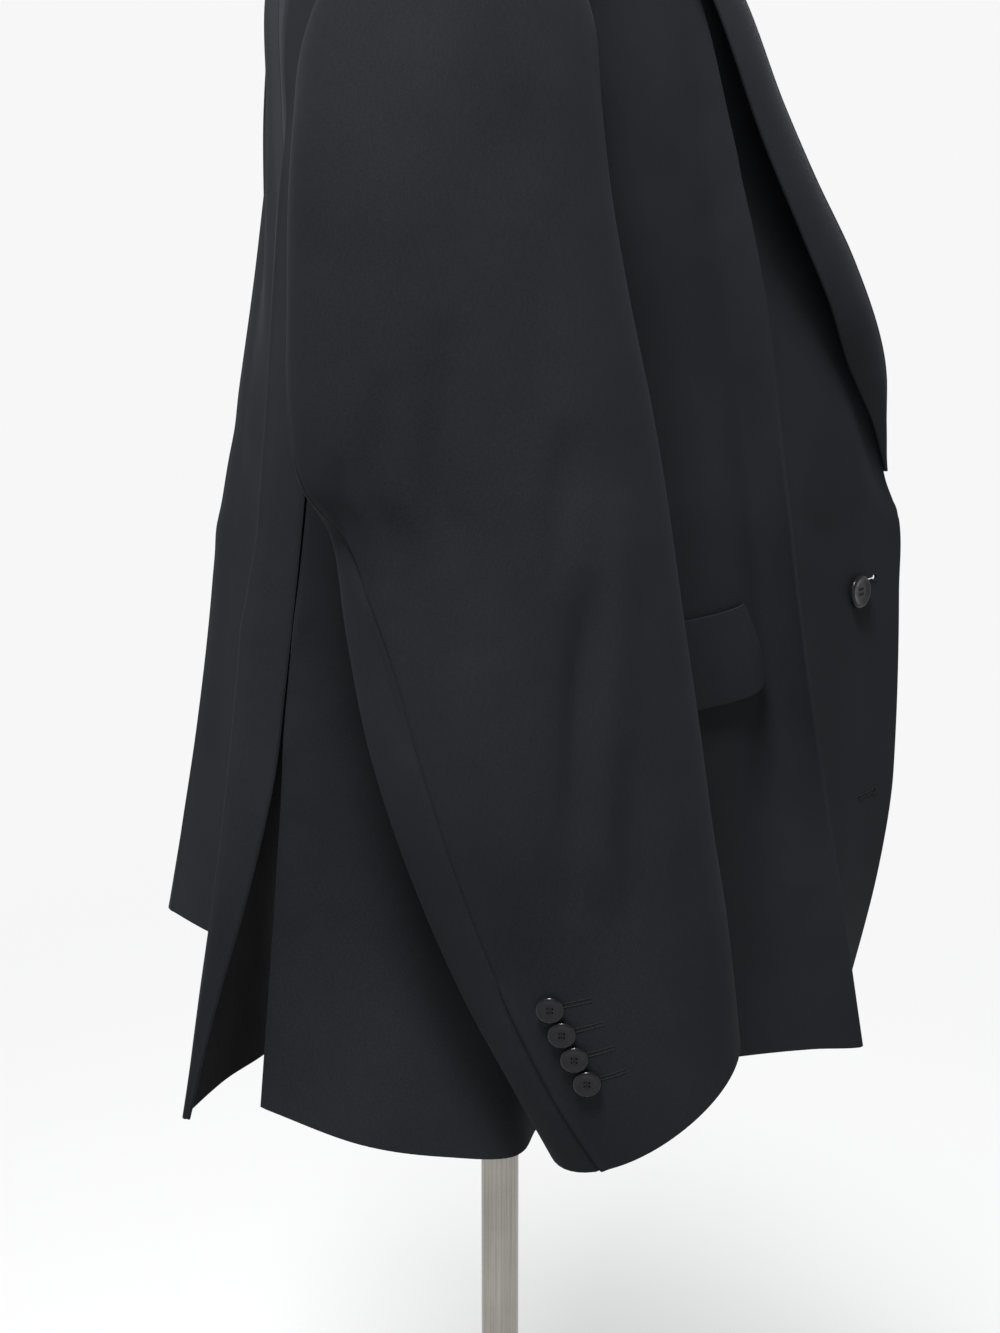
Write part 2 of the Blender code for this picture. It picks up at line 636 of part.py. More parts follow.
def ring_place(ring, turn):
    """Point (aside, y, up) of a sleeve ring; 0 is its front edge and 90 its outer side."""
    row = dict(zip(SLEEVE_COLUMNS, ring))
    fore_point = np.array((row["out"], *row["fore"]), float)
    aft_point = np.array((row["out"], *row["aft"]), float)
    centre = (fore_point + aft_point) / 2
    swing, lift = cos(radians(turn)), sin(radians(turn))
    far = row["crest"] if lift > 0 else row["pit"]
    bulge = np.array((far[0], centre[1], far[1])) - centre
    return centre + (fore_point - centre) * swing + bulge * abs(lift)


class Sleeve:
    """Surface of one sleeve: ring counts up from the cuff, turn goes round each ring."""

    def __init__(self, strips, side):
        self.side = side
        self.turns = np.arange(-60, 301, 6.0)
        columns = []
        for turn in self.turns:
            column = [ring_place(ring, turn) for ring in SLEEVE_RINGS]
            for k, point in enumerate(column):
                point[1] += SLEEVE_LEAN[side] * (1 - k / LEAN_TOP_RING) ** LEAN_POWER
            most, middle, reach = HEAD_FULLNESS
            fuller = most * max(0.0, 1 - ((turn - middle) / reach) ** 2)
            steps = [(HEAD_STEPS[0][0], HEAD_STEPS[0][1] + fuller), *HEAD_STEPS[1:]]
            column += [armhole_place(strips, side, turn, step) for step in steps]
            columns.append(Curve(range(len(column)), column))
        self.columns = columns
        self.top = len(SLEEVE_RINGS) + len(HEAD_STEPS) - 1
        self.aft_turn = Curve([row[0] for row in AFT_SEAM_TURN],
                              [[row[1]] for row in AFT_SEAM_TURN])

    def place(self, ring, turn):
        at_ring = [column(ring) for column in self.columns]
        return world(self.side, Curve(self.turns, at_ring)(turn))

    def normal(self, ring, turn):
        along = self.place(ring + 0.02, turn) - self.place(ring - 0.02, turn)
        across = self.place(ring, turn + 1) - self.place(ring, turn - 1)
        return unit(np.cross(across, along)) * OUTWARD[self.side]

    def aft_seam(self, ring):
        return float(self.aft_turn(ring)[0])


def turn_gap(sleeve, ring, turn, gap):
    """Degrees of a ring that span a gap in millimetres."""
    step = np.linalg.norm(sleeve.place(ring, turn + 1) - sleeve.place(ring, turn))
    return gap * MM / step


def add_sleeve(sleeve):
    upper_wide, under_wide, tall = SLEEVE_STEPS
    upper, under = [], []
    rings = [sleeve.top * (j / tall) for j in range(tall + 1)]
    gap = SLEEVE_SEAM_GAP
    for grid, wide in ((upper, upper_wide), (under, under_wide)):
        for i in range(wide + 1):
            line = []
            for ring in rings:
                aft = sleeve.aft_seam(ring)
                fore = FORE_SEAM_TURN
                vent = CUFF_VENT_GAP * max(0.0, 1 - ring / CUFF_VENT_RINGS)
                if grid is upper:
                    low = fore + turn_gap(sleeve, ring, fore, gap)
                    high = aft
                else:
                    low = aft + turn_gap(sleeve, ring, aft, gap + vent)
                    high = 360 + fore - turn_gap(sleeve, ring, fore, gap)
                turn = low + (high - low) * i / wide
                line.append(sleeve.place(ring, turn if turn <= 300 else turn - 360))
            grid.append(line)
    add_wall("sleeve_upper_" + sleeve.side, np.array(upper), CLOTH)
    add_wall("sleeve_under_" + sleeve.side, np.array(under), CLOTH)


def seam_ring_at(sleeve, height):
    """Ring number whose back seam lies a height in millimetres above the cuff's edge."""
    length, ring, step = 0.0, 0.0, 0.02
    here = sleeve.place(0.0, sleeve.aft_seam(0.0))
    while length < height * MM:
        ring += step
        there = sleeve.place(ring, sleeve.aft_seam(ring))
        length += np.linalg.norm(there - here)
        here = there
    return ring


def add_sleeve_buttons(sleeve):
    for k in range(SLEEVE_BUTTON_COUNT):
        ring = seam_ring_at(sleeve, SLEEVE_BUTTON_FIRST + k * SLEEVE_BUTTON_STEP)
        seam = sleeve.aft_seam(ring)
        turn = seam - turn_gap(sleeve, ring, seam, SLEEVE_BUTTON_INSET)
        axis = sleeve.normal(ring, turn)
        seat = sleeve.place(ring, turn) + axis * (CLOTH / 2 + BUTTON_LIFT)
        name = "sleeve_button_{}_{}".format(sleeve.side, k + 1)
        add_button(name, SLEEVE_BUTTON, seat, axis)


# ---------------------------------------------------------------- dress form

def form_ring(up, half, front, back):
    """Rounded section of the form."""
    centre, depth = (front + back) / 2, (back - front) / 2
    power = 2 / FORM_SQUARENESS
    ring = []
    for i in range(FORM_SIDES):
        angle = 2 * pi * i / FORM_SIDES
        c, s = cos(angle), sin(angle)
        x = half * abs(c) ** power * (1 if c >= 0 else -1)
        y = centre + depth * abs(s) ** power * (1 if s >= 0 else -1)
        ring.append(np.array((x * MM, y * MM, HEM_HEIGHT + up * MM)))
    return ring


def add_form():
    rings = [form_ring(**dict(zip(FORM_COLUMNS, row))) for row in FORM_SECTIONS]
    add_stack("form_torso", rings, "linen")
    neck_top = HEM_HEIGHT + FORM_SECTIONS[-1][0] * MM
    radius, height = CAP_RADIUS * MM, CAP_HEIGHT * MM
    cap = ((radius * 0.97, SEAM_GAP), (radius, 0.2 * height), (radius * 0.97, 0.7 * height),
           (radius * 0.8, height))
    cap_centre = np.array((0.0, 0.002, neck_top))
    add_stack("form_cap", turned_rings(cap, FORM_SIDES, cap_centre, (0, 0, 1)), "wood")


def add_stand():
    torso_bottom = HEM_HEIGHT + FORM_SECTIONS[0][0] * MM
    axis, foot = (0, 0, 1), np.zeros(3)
    base = ((BASE_RADIUS, 0.0), (BASE_RADIUS, BASE_THICK - BASE_EDGE),
            (BASE_RADIUS - BASE_EDGE, BASE_THICK))
    add_stack("stand_base", turned_rings(base, BASE_SIDES, foot, axis), "paint")
    pole_bottom = BASE_THICK + SEAM_GAP
    pole = ((POLE_RADIUS, pole_bottom), (POLE_RADIUS, torso_bottom - SEAM_GAP))
    add_stack("stand_pole", turned_rings(pole, POLE_SIDES, foot, axis), "steel")
    add_hub()


def add_hub():
    """Tapered ring round the foot of the pole, clear of it."""
    inner = POLE_RADIUS + 2 * SEAM_GAP
    bottom = np.array((0.0, 0.0, BASE_THICK + SEAM_GAP))
    profile = ((inner, 0.0), (HUB_RADIUS, 0.0), (HUB_RADIUS, HUB_HEIGHT * 0.6),
               (inner + HUB_TOP, HUB_HEIGHT), (inner, HUB_HEIGHT))
    rings = turned_rings(profile, HUB_SIDES, bottom, (0, 0, 1))
    points = [p for ring in rings for p in ring]
    faces = []
    for k in range(len(rings)):
        low, high = k * HUB_SIDES, ((k + 1) % len(rings)) * HUB_SIDES
        for i in range(HUB_SIDES):
            j = (i + 1) % HUB_SIDES
            faces.append((low + i, low + j, high + j, high + i))
    return add_solid("stand_hub", points, faces, "steel")


# ---------------------------------------------------------------- the whole part

def main():
    for old in list(bpy.data.objects):
        bpy.data.objects.remove(old, do_unlink=True)
    strips = {side: (front_strip(side), back_strip(side)) for side in (RIGHT, LEFT)}
    for side, (front, back) in strips.items():
        add_front(front, side)
        add_side_panel(front, side)
        add_back(back, side)
        add_lapel(front, side)
        add_flap(front, side)
        sleeve = Sleeve(strips, side)
        add_sleeve(sleeve)
        add_sleeve_buttons(sleeve)
    add_front_buttons(strips)
    add_collar()
    add_form()
    add_stand()


main()
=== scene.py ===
"""Looks of a black wool two-button suit jacket on a limbless dress form.

Metres, +Z up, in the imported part's own frame. Tables and small sizes are in millimetres, and
heights named "up" or "level" are above the jacket's hem. A half section runs from the front
edge round one side to the centre back, as pairs (aside, y): aside is the distance from the
centre line towards that half's own side. A turn is the distance in millimetres round a half
section, or an angle in degrees round a sleeve.
"""

from math import cos, pi, radians, sin

import bpy
import numpy as np
from mathutils import Matrix, Vector

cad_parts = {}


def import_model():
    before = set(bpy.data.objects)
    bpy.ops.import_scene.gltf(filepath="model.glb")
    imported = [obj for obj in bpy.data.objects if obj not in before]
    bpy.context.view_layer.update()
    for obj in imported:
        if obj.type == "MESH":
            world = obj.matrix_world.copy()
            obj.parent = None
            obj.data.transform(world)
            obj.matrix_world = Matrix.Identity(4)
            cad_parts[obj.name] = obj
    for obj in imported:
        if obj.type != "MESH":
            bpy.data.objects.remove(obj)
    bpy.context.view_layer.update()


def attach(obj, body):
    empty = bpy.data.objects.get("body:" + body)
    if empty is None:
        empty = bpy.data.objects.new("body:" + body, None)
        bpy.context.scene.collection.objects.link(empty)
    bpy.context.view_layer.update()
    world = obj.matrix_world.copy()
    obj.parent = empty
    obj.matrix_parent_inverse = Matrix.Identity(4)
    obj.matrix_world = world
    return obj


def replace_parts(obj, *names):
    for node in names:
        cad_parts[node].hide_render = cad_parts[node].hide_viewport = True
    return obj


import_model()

MM = 0.001
HEM_HEIGHT = 0.705          # the hem above the floor
CLOTH = 0.0015              # wall of a panel: cloth, canvas and lining together
LAPEL_CLOTH = 0.0018
FLAP_CLOTH = 0.0017
SEAM_GAP = 0.0003
RIGHT, LEFT = "right", "left"
OUTWARD = {RIGHT: -1.0, LEFT: 1.0}

# Shoulder line of each half: from the neck point down to the shoulder tip.
NECK_ASIDE, NECK_UP = 80, 735
TIP_ASIDE, TIP_UP = 214, 690
NAPE_DIP = 19               # the centre back of the neck seam below the neck points
CROWN_LEVEL, CROWN_DROP = 700, 11
SHOULDER_LEVEL = 725
TOP_LEVELS = {CROWN_LEVEL: CROWN_DROP, SHOULDER_LEVEL: 0}

# Front and side of a half: ridge is the long fold beside the lapel, trough the hollow behind
# it, fore_seam and aft_seam the side panel's two seams, side the fluted hem under the sleeve.
SIDE_COLUMNS = ("level", "crease", "ridge", "trough", "pocket", "fore_seam", "side_turn",
                "side", "flank", "side_back", "aft_seam")
SIDE_SECTIONS = (
    (-10, (105, -192), (127, -201), (127, -172), (131, -128), (150, -60), (196, 4),
     (230, 24), (224, 62), (206, 108), (164, 161)),
    (120, (106, -168), (130, -178), (123, -152), (133, -120), (153, -56), (184, 0),
     (207, 28), (209, 64), (198, 108), (168, 150)),
    (240, (110, -147), (131, -158), (125, -136), (139, -114), (158, -52), (178, -2),
     (190, 28), (193, 64), (188, 106), (175, 141)),
    (350, (112, -131), (131, -142), (128, -121), (145, -97), (164, -46), (175, -6),
     (180, 28), (182, 62), (181, 98), (177, 128)),
    (450, (110, -115), (128, -127), (130, -106), (151, -80), (170, -39), (183, -5),
     (189, 28), (191, 60), (189, 92), (181, 120)),
    (540, (109, -92), (123, -107), (129, -91), (151, -66), (178, -24), (190, -2),
     (197, 28), (199, 58), (196, 86), (187, 110)),
    (610, (105, -78), (119, -88), (131, -75), (155, -49), (185, -12), (196, 5),
     (203, 28), (205, 52), (202, 76), (194, 96)),
    (665, (107, -56), (120, -60), (135, -50), (160, -32), (199, 0), (204, 11),
     (208, 28), (209, 44), (208, 56), (205, 66)),
    (700, (110, -26), (121, -26), (138, -22), (166, -15), (210, 5), (211, 11),
     (211, 22), (211, 30), (211, 34), (211, 39)),
    (725, (110, 12.9), (121, 13), (138, 13.6), (168, 14.8), (214, 17.6), (214, 17.7),
     (214, 17.8), (214, 17.9), (214, 18), (214, 18.1)),
)

# Back of a half: vent is the back's edge at the side vent, flute the fold that hangs from
# the shoulder blade, hollow the valley beside the centre back.
BACK_COLUMNS = ("level", "vent", "flute", "slope", "hollow", "nape", "spine")
BACK_SECTIONS = (
    (-10, (175, 203), (168, 203), (124, 180), (86, 153), (44, 141), (0, 138)),
    (60, (173, 185), (160, 192), (122, 174), (86, 152), (44, 139), (0, 136)),
    (120, (172, 167), (155, 182), (121, 168), (86, 150), (44, 137), (0, 134)),
    (205, (175, 147.5), (152, 170), (120, 160), (86, 146), (44, 134), (0, 130)),
    (240, (176, 143.2), (152, 166), (120, 157), (86, 144), (44, 132), (0, 128)),
    (350, (178, 130.4), (147, 150), (118, 146), (86, 136), (44, 126), (0, 122)),
    (450, (182, 122.4), (139, 141), (114, 138), (84, 133), (45, 127), (0, 124)),
    (540, (188, 112.4), (134, 133), (110, 132), (84, 130), (46, 128), (0, 126)),
    (610, (195, 98.4), (133, 127), (110, 128), (84, 128), (46, 127), (0, 125)),
    (665, (206, 68.4), (137, 103), (112, 108), (84, 111), (47, 113), (0, 112)),
    (700, (211.8, 42), (152, 55), (119, 57), (82, 62), (48, 84), (0, 93)),
    (725, (214, 19.8), (154, 17.2), (114, 15.7), (80, 14.6), (50, 52), (0, 68)),
)
# The left half of the back hangs flatter: how far its flute and slope lie forward, by level.
FLATTER_BACK = {350: 2, 450: 8, 540: 10, 610: 7}

# Front edge of each half. Up to the break it is the free edge, above it the roll line where
# the lapel turns out. The right half laps over the left and stands forward of it.
EDGE_COLUMNS = ("level", "edge", "turn", "mid")
ROLL_TOP = (                # the same in both halves
    (665, (67, -85), (80, -73), (94, -63)),
    (700, (76, -34), (87, -30), (99, -27)),
    (725, (80, 12.8), (90, 12.8), (100, 12.9)),
)
EDGE_SECTIONS = {
    RIGHT: (
        (-10, (-6, -246), (18, -230), (66, -207)),
        (60, (-8, -251), (18, -229), (65, -198)),
        (120, (-9, -254), (18, -225), (64, -188)),
        (240, (-10, -253.5), (20, -218), (62, -176)),
        (290, (-8, -250.5), (21, -214), (63, -170)),
        (318, (-3, -240), (25, -210), (65, -166)),
        (345, (2, -235), (31, -203), (68, -160)),
        (393, (10, -228), (38, -187), (72, -148)),
        (450, (21, -205), (48, -162), (77, -130)),
        (500, (31, -177), (56, -142), (80, -118)),
        (540, (40, -156), (61, -127), (82, -107)),
        (610, (55, -122.5), (71, -103), (88, -86)),
    ) + ROLL_TOP,
    LEFT: (
        (-10, (-42, -198), (-16, -208), (58, -206)),
        (60, (-44, -194), (-18, -206), (60, -196)),
        (120, (-45, -190), (-18, -204), (60, -187)),
        (240, (-45, -184), (-20, -204), (60, -176)),
        (290, (-44, -183), (-20, -202), (62, -170)),
        (318, (-38, -187), (-12, -201), (64, -166)),
        (345, (-30, -193), (0, -198), (67, -160)),
        (393, (-18, -203), (18, -188), (72, -147)),
        (450, (1, -194), (36, -164), (77, -129)),
        (500, (16, -173), (48, -143), (80, -118)),
        (540, (27, -154), (54, -128), (82, -107)),
        (610, (50, -123), (69, -103), (88, -86)),
    ) + ROLL_TOP,
}

# Lapel: its outer edge (aside, y) at each level, and the levels of its two ends.
LAPEL_COLUMNS = ("level", "outer")
LAPEL_SECTIONS = {
    RIGHT: ((318, (3, -237)), (345, (13, -229)), (393, (36, -203)), (428, (55, -187)),
            (472, (76, -163)), (525, (100, -134)), (602, (128, -98)), (640, (138, -78)),
            (665, (142, -62))),
    LEFT: ((318, (-34, -194.5)), (345, (-18, -203)), (393, (12, -207)), (428, (36, -190)),
           (472, (68, -164)), (525, (96, -134)), (602, (126, -98)), (640, (137, -78)),
           (665, (141, -62))),
}
LAPEL_BREAK = 318           # level where the lapel starts to turn out
LAPEL_START = 319           # level of its lower end
LAPEL_TIP = 632
GORGE_AT_ROLL = 673
LAPEL_BELLY, BELLY_RISE = 5, 60         # how far its middle stands out, and over what height

# Collar, from the centre back to the notch of one half: the neck seam, the fold and the
# outer edge of its leaf, each as (aside, y, up).
COLLAR_COLUMNS = ("seam", "fold", "leaf")
COLLAR_SECTIONS = (
    ((0, 67, 719), (0, 63, 752), (0, 104, 708)),
    ((30, 62, 722), (28, 57, 754), (40, 99, 711)),
    ((56, 46, 730), (52, 40, 759), (80, 74, 718)),
    ((76, 20, 738), (69, 16, 763), (112, 30, 731)),
    ((78, -10, 737), (71, -14, 756), (120, -10, 727)),
    ((76, -36, 726), (71, -42, 738), (120, -44, 710)),
    ((71, -56, 705), (69, -67, 708), (122, -68, 690)),
    ((66, -67, 686), (67.5, -79, 683), (105, -85, 658)),
)
COLLAR_CLOTH = 0.0018
COLLAR_ROLL = 3.2           # half the width of its rounded fold
ROLL_DROP = 0.1             # share of the collar's height by which the fold's sides lie lower
LEAF_STEPS = (0.35, 0.68)   # shares of the leaf's width

HEM = -5                    # level of the front and back hems
SIDE_HEM = (("fore_seam", -5), ("side_turn", -10), ("side", -13), ("flank", -14),
            ("side_back", -12), ("aft_seam", -5))
CUTAWAY_WIDTH, CUTAWAY_HEIGHT = 128, 138
CUTAWAY_POWER = 2.3         # 2 is a quarter of an ellipse, more is squarer
ARMHOLE_SHAPE = (("fore_seam", 548), ("side_turn", 492), ("side", 471), ("flank", 472),
                 ("side_back", 494), ("aft_seam", 548))

# Pocket flap: how far it runs behind its front edge, its drop and the tilt of its mouth.
FLAP_LEVEL, FLAP_WIDTH, FLAP_DROP = 272, 150, 50
FLAP_FRONT = 11             # its front edge before the pocket column
FLAP_LIFT = 3.0             # from the panel's middle to the flap's
FLAP_SLOPE = 0.12
FLAP_CORNER = 12
FLAP_LEAN = 18              # its front edge runs forward as it drops

# Sleeve rings from the cuff up: the front and back edges as (y, up), out is how far aside
# they lie, crest and pit the outermost and innermost points as (aside, up).
SLEEVE_COLUMNS = ("fore", "aft", "out", "crest", "pit")
SLEEVE_RINGS = (
    ((-95, 58), (8, -1), 251, (287, 13), (221, 50)),
    ((-91, 92), (32, 46), 252, (290, 52), (221, 84)),
    ((-85, 136), (58, 98), 252, (292, 108), (219, 124)),
    ((-77, 182), (84, 164), 252, (293, 170), (217, 174)),
    ((-69, 236), (103, 228), 252, (294, 232), (215, 232)),
    ((-60, 292), (114, 290), 252, (294, 291), (213, 291)),
    ((-52, 344), (121, 342), 252, (294, 344), (211, 340)),
    ((-47, 374), (137, 372), 252, (294, 376), (210, 366)),
    ((-40, 410), (142, 412), 252, (294, 417), (209, 394)),
    ((-30, 455), (141, 462), 251, (293, 471), (208, 420)),
    ((-21, 505), (139, 512), 246, (289, 531), (206, 439)),
    ((-17, 546), (135, 550), 236, (279, 592), (202, 450)),
    ((-18, 568), (131, 568), 218, (256, 648), (199, 461)),
)
SLEEVE_LEAN = {RIGHT: 0, LEFT: -26}     # the left sleeve hangs further forward
LEAN_TOP_RING, LEAN_POWER = 13, 0.35
ARMHOLE_CENTRE = (37, 566)  # (y, up), seen from the side
HEAD_STEPS = ((8.5, 4.0), (2.4, 0.0))   # outside the armhole's edge: aside, and all round
HEAD_FULLNESS = (11.0, 158, 54)         # more of the first step behind: most, at turn, reach
FORE_SEAM_TURN = -35
# Turn of the back seam at each ring.
AFT_SEAM_TURN = ((0, 124), (1, 130), (2, 134), (3, 136), (4, 138), (5, 144), (6, 160),
                 (7, 172), (8, 178), (12, 184), (14, 188))
CUFF_VENT_RINGS = 2.2       # height of the cuff's vent

# Buttons: diameter, thickness, rim width and depth of the dish.
FRONT_BUTTON = (20.5, 3.6, 2.6, 1.0)
SLEEVE_BUTTON = (15.0, 3.0, 2.0, 0.8)
BUTTON_LEVELS = {"upper": 249, "lower": 150}
SLEEVE_BUTTON_COUNT, SLEEVE_BUTTON_STEP = 4, 15.8
SLEEVE_BUTTON_FIRST = 59    # centre of the lowest one above the cuff's edge
SLEEVE_BUTTON_INSET = 20    # from the back seam
BUTTON_LIFT = 0.0008        # the back of a button off the cloth

# Dress form: height, half width, front and back of each section.
FORM_SECTIONS = (
    (118, 132, -84, 84), (124, 142, -94, 94), (140, 148, -100, 100), (200, 152, -104, 106),
    (270, 142, -98, 96), (350, 134, -92, 88), (430, 145, -98, 98), (510, 160, -90, 108),
    (580, 166, -74, 108), (630, 166, -58, 98), (664, 160, -42, 80), (688, 142, -26, 62),
    (704, 112, -16, 48), (716, 80, -14, 42), (730, 58, -28, 44), (756, 52, -34, 42),
    (800, 51, -36, 40),
)
FORM_SQUARENESS = 2.3
CAP_RADIUS, CAP_HEIGHT = 48, 10
POLE_RADIUS = 0.012
BASE_RADIUS, BASE_THICK, BASE_EDGE = 0.17, 0.012, 0.003
HUB_RADIUS, HUB_HEIGHT, HUB_TOP = 0.026, 0.045, 0.004

# ---- creases and small sizes

# Soft troughs (height below 0) and ridges laid on a piece, from one place on it to another.
# On the body a turn runs back from the front edge, or from the vent on the back. On a sleeve
# a turn is in degrees and its level is a ring, counted up from the cuff.
CREASE_COLUMNS = ("turn", "level", "to_turn", "to_level", "width", "height")
CREASE_FADE = 0.8           # how softly a crease dies out at its two ends
FRONT_CREASES = {
    RIGHT: ((30, 420, 2, 290, 9, -4.2), (165, 410, 168, 100, 13, -6.0),
            (62, 300, 118, 245, 20, -2.2), (50, 262, 120, 300, 16, 1.6),
            (70, 180, 96, 40, 22, -2.0), (180, 240, 196, 60, 16, -1.6),
            (228, 330, 246, 250, 15, -1.5), (245, 420, 262, 330, 12, 1.3),
            (150, 520, 188, 470, 14, -1.4), (232, 210, 238, 60, 14, 1.3),
            (453, 300, 460, 262, 9, 1.3), (446, 236, 460, 200, 9, 1.2),
            (470, 205, 335, -10, 16, -2.0), (380, 430, 440, 380, 15, -1.6),
            (300, 400, 345, 330, 14, -1.3)),
    LEFT: ((177, 400, 180, 120, 13, -5.0),
           (60, 290, 116, 250, 20, -2.0), (52, 250, 118, 292, 16, 1.4),
           (74, 190, 90, 50, 22, -1.8), (184, 230, 204, 70, 16, -1.7),
           (236, 340, 250, 246, 15, -1.3), (250, 430, 270, 345, 12, 1.2),
           (158, 515, 200, 462, 14, -1.5), (240, 200, 236, 50, 14, 1.2),
           (464, 280, 470, 240, 9, 1.2), (456, 210, 470, 176, 9, 1.1),
           (478, 190, 350, 0, 16, -1.7), (390, 420, 450, 366, 15, -1.5),
           (312, 410, 350, 340, 14, -1.2)),
}
BACK_CREASES = {
    RIGHT: ((20, 330, 90, 300, 14, -1.6), (10, 280, 70, 262, 12, 1.2),
            (30, 560, 70, 500, 16, -1.8), (60, 200, 74, 30, 16, -1.4),
            (120, 340, 180, 322, 14, -1.2), (140, 150, 146, 10, 16, 1.2)),
    LEFT: ((24, 340, 96, 296, 14, -1.4), (12, 268, 74, 256, 12, 1.3),
           (26, 552, 80, 504, 16, -1.7), (64, 190, 70, 40, 16, -1.5),
           (116, 352, 184, 330, 14, -1.1), (136, 170, 150, 20, 16, 1.1)),
}
SLEEVE_CREASES = {
    RIGHT: ((98, 8.8, 115, 5.7, 9, -4.6), (120, 8.3, 140, 5.5, 9, -4.2),
            (64, 5.7, 94, 2.6, 8, -7.0), (62, 4.1, 72, 2.4, 7, -2.6),
            (172, 6.4, 152, 5.5, 7, -2.0), (172, 5.3, 158, 4.3, 6, -1.7),
            (140, 7.4, 156, 6.0, 7, -2.2), (50, 6.2, 80, 2.6, 11, 2.8),
            (62, 7.8, 78, 5.5, 8, -3.6), (68, 3.6, 66, 1.5, 9, -2.5),
            (109, 5.0, 114, 2.2, 13, 2.8), (150, 5.3, 143, 4.0, 6, -2.8),
            (48, 6.8, 57, 4.4, 9, 2.2), (78, 4.6, 98, 1.9, 8, 2.4),
            (106, 8.2, 122, 5.2, 10, 2.2), (40, 3.4, 48, 1.4, 9, -1.8),
            (84, 12.2, 96, 9.4, 16, 1.6), (60, 9.8, 78, 6.8, 12, -1.6),
            (200, 8.0, 300, 7.6, 12, -1.8), (210, 5.2, 296, 6.1, 12, -1.6)),
    LEFT: ((94, 9.0, 112, 6.0, 9, -4.1), (120, 8.5, 134, 5.6, 9, -3.7),
           (66, 6.1, 95, 2.5, 8, -5.6), (52, 6.4, 78, 2.9, 10, 3.0),
           (60, 7.6, 80, 5.7, 8, -3.1), (112, 4.8, 110, 2.4, 13, 2.5),
           (59, 3.9, 75, 2.3, 7, -2.0),
           (146, 5.4, 158, 4.0, 6, -1.6), (138, 7.2, 154, 5.8, 7, -2.0),
           (46, 7.0, 59, 4.6, 9, 2.0), (80, 4.8, 100, 2.1, 8, 2.2),
           (104, 8.4, 120, 5.4, 10, 2.0), (38, 3.2, 50, 1.3, 9, -1.7),
           (80, 12.1, 94, 9.2, 16, 1.5), (58, 9.5, 74, 6.6, 12, -1.5),
           (200, 7.9, 298, 7.4, 12, -1.7), (208, 5.4, 296, 6.3, 12, -1.5)),
}
SLEEVE_TURN_SIZE, SLEEVE_RING_SIZE = 1.35, 46.0     # a degree and a ring, in millimetres
HEAD_TUCK = (0.0, -3.2)                 # last step of the sleeve head, turned in to its seam
SLEEVE_TURNS = (-60, 301, 6.0)          # first, beyond the last, and step
SLEEVE_SEAM_DEPTH = 1.6                 # times as deep as the body's
VENT_FADE = 0.12                        # rings over which the cuff's vent closes
VENT_LIP, VENT_RISE = 6.0, 0.7          # its upper edge stands proud
VENT_UNDER, VENT_DEPTH = 9.0, 2.0       # the under sleeve runs on under the upper there
VENT_HIDDEN, VENT_SINKS = 3, 4          # degrees past the seam, and over which it sinks
DART = (211, 508, 211, 392, 1.0, -0.55)             # sewn dart, as a crease
# Pressed edge of a long fold: its column, top level, width and height. It starts below the
# hem, and leans so little that it stays upright.
PRESS_FOOT, PRESS_LEAN = -120, 0.01
RIDGE_PRESS = ("ridge", 700, 2.6, 1.1)
FLUTE_PRESS = ("flute", 680, 3.0, 1.0)

NORMAL_STEP, RING_STEP = 1.0, 0.02      # a turn or level, and a ring, for a surface's slopes
GRID_STEP = 3.6                         # between the rows of a cloth piece's points
EDGE_STEPS = (0.0, 0.35, 0.9, 1.7, 2.8, 4.4)     # from an edge inwards, before the even steps
CLOSE_STEPS = (-2.4, -1.2, -0.6, 0.0, 0.6, 1.2, 2.4)       # beside a dart or a pressed fold
MIN_STEP = 0.3                          # closer rows than this are left out
SEAM_DIP, SEAM_SOFT = 0.6, 1.3          # how far a sewn edge dips in, and over what width
SEAM_JOIN = 0.06                        # a sewn edge before its seam line
FREE_EDGE = 0.3                         # the front's free edge before its first column
EDGE_ROUND = 0.34                       # an edge bulges by this share of its thickness
CUT = "cut"                             # mesh attribute: place on the flat cloth, in metres
PANEL_TOP = SHOULDER_LEVEL + 0.55       # the shoulder seams close up over the CAD's gap
PANEL_HEIGHT, SLEEVE_LENGTH = 730.0, 660.0          # over which the rows are spread
SLEEVE_WIDTHS = {"upper": 235.0, "under": 120.0}
CAD_CLOTH = 0.0016                      # wall of the solids, on which the buttons sit
STRIP_LEVELS = (0.0, 150.0, 300.0, 450.0, 600.0)    # where the width of a strip is measured
LAPEL_TAPER, LAPEL_NARROW = 26.0, 0.12  # it grows over this height, from this share
LAPEL_FACING = 0.4                      # how far aside its face looks
LAPEL_FLAT, COLLAR_SPACING = 320, 45    # on the flat cloth: length, and from section to section
ROLL_RADIUS = (1.0, 2.2)                # of the lapel's roll, at the break and above it
ROLL_POINTS, LAPEL_SPAN, LAPEL_GRID = 9, 95.0, 3.6
COLLAR_STATIONS, COLLAR_GRID = 141, 2.2
FLAP_GRID, FLAP_BELLY, FLAP_SWING = 2.4, 0.5, 3.5   # it bulges, and stands off at its foot
ARMHOLE_UPRIGHT, ARMHOLE_UNDER = 14, 12             # points on its upright and lower edges

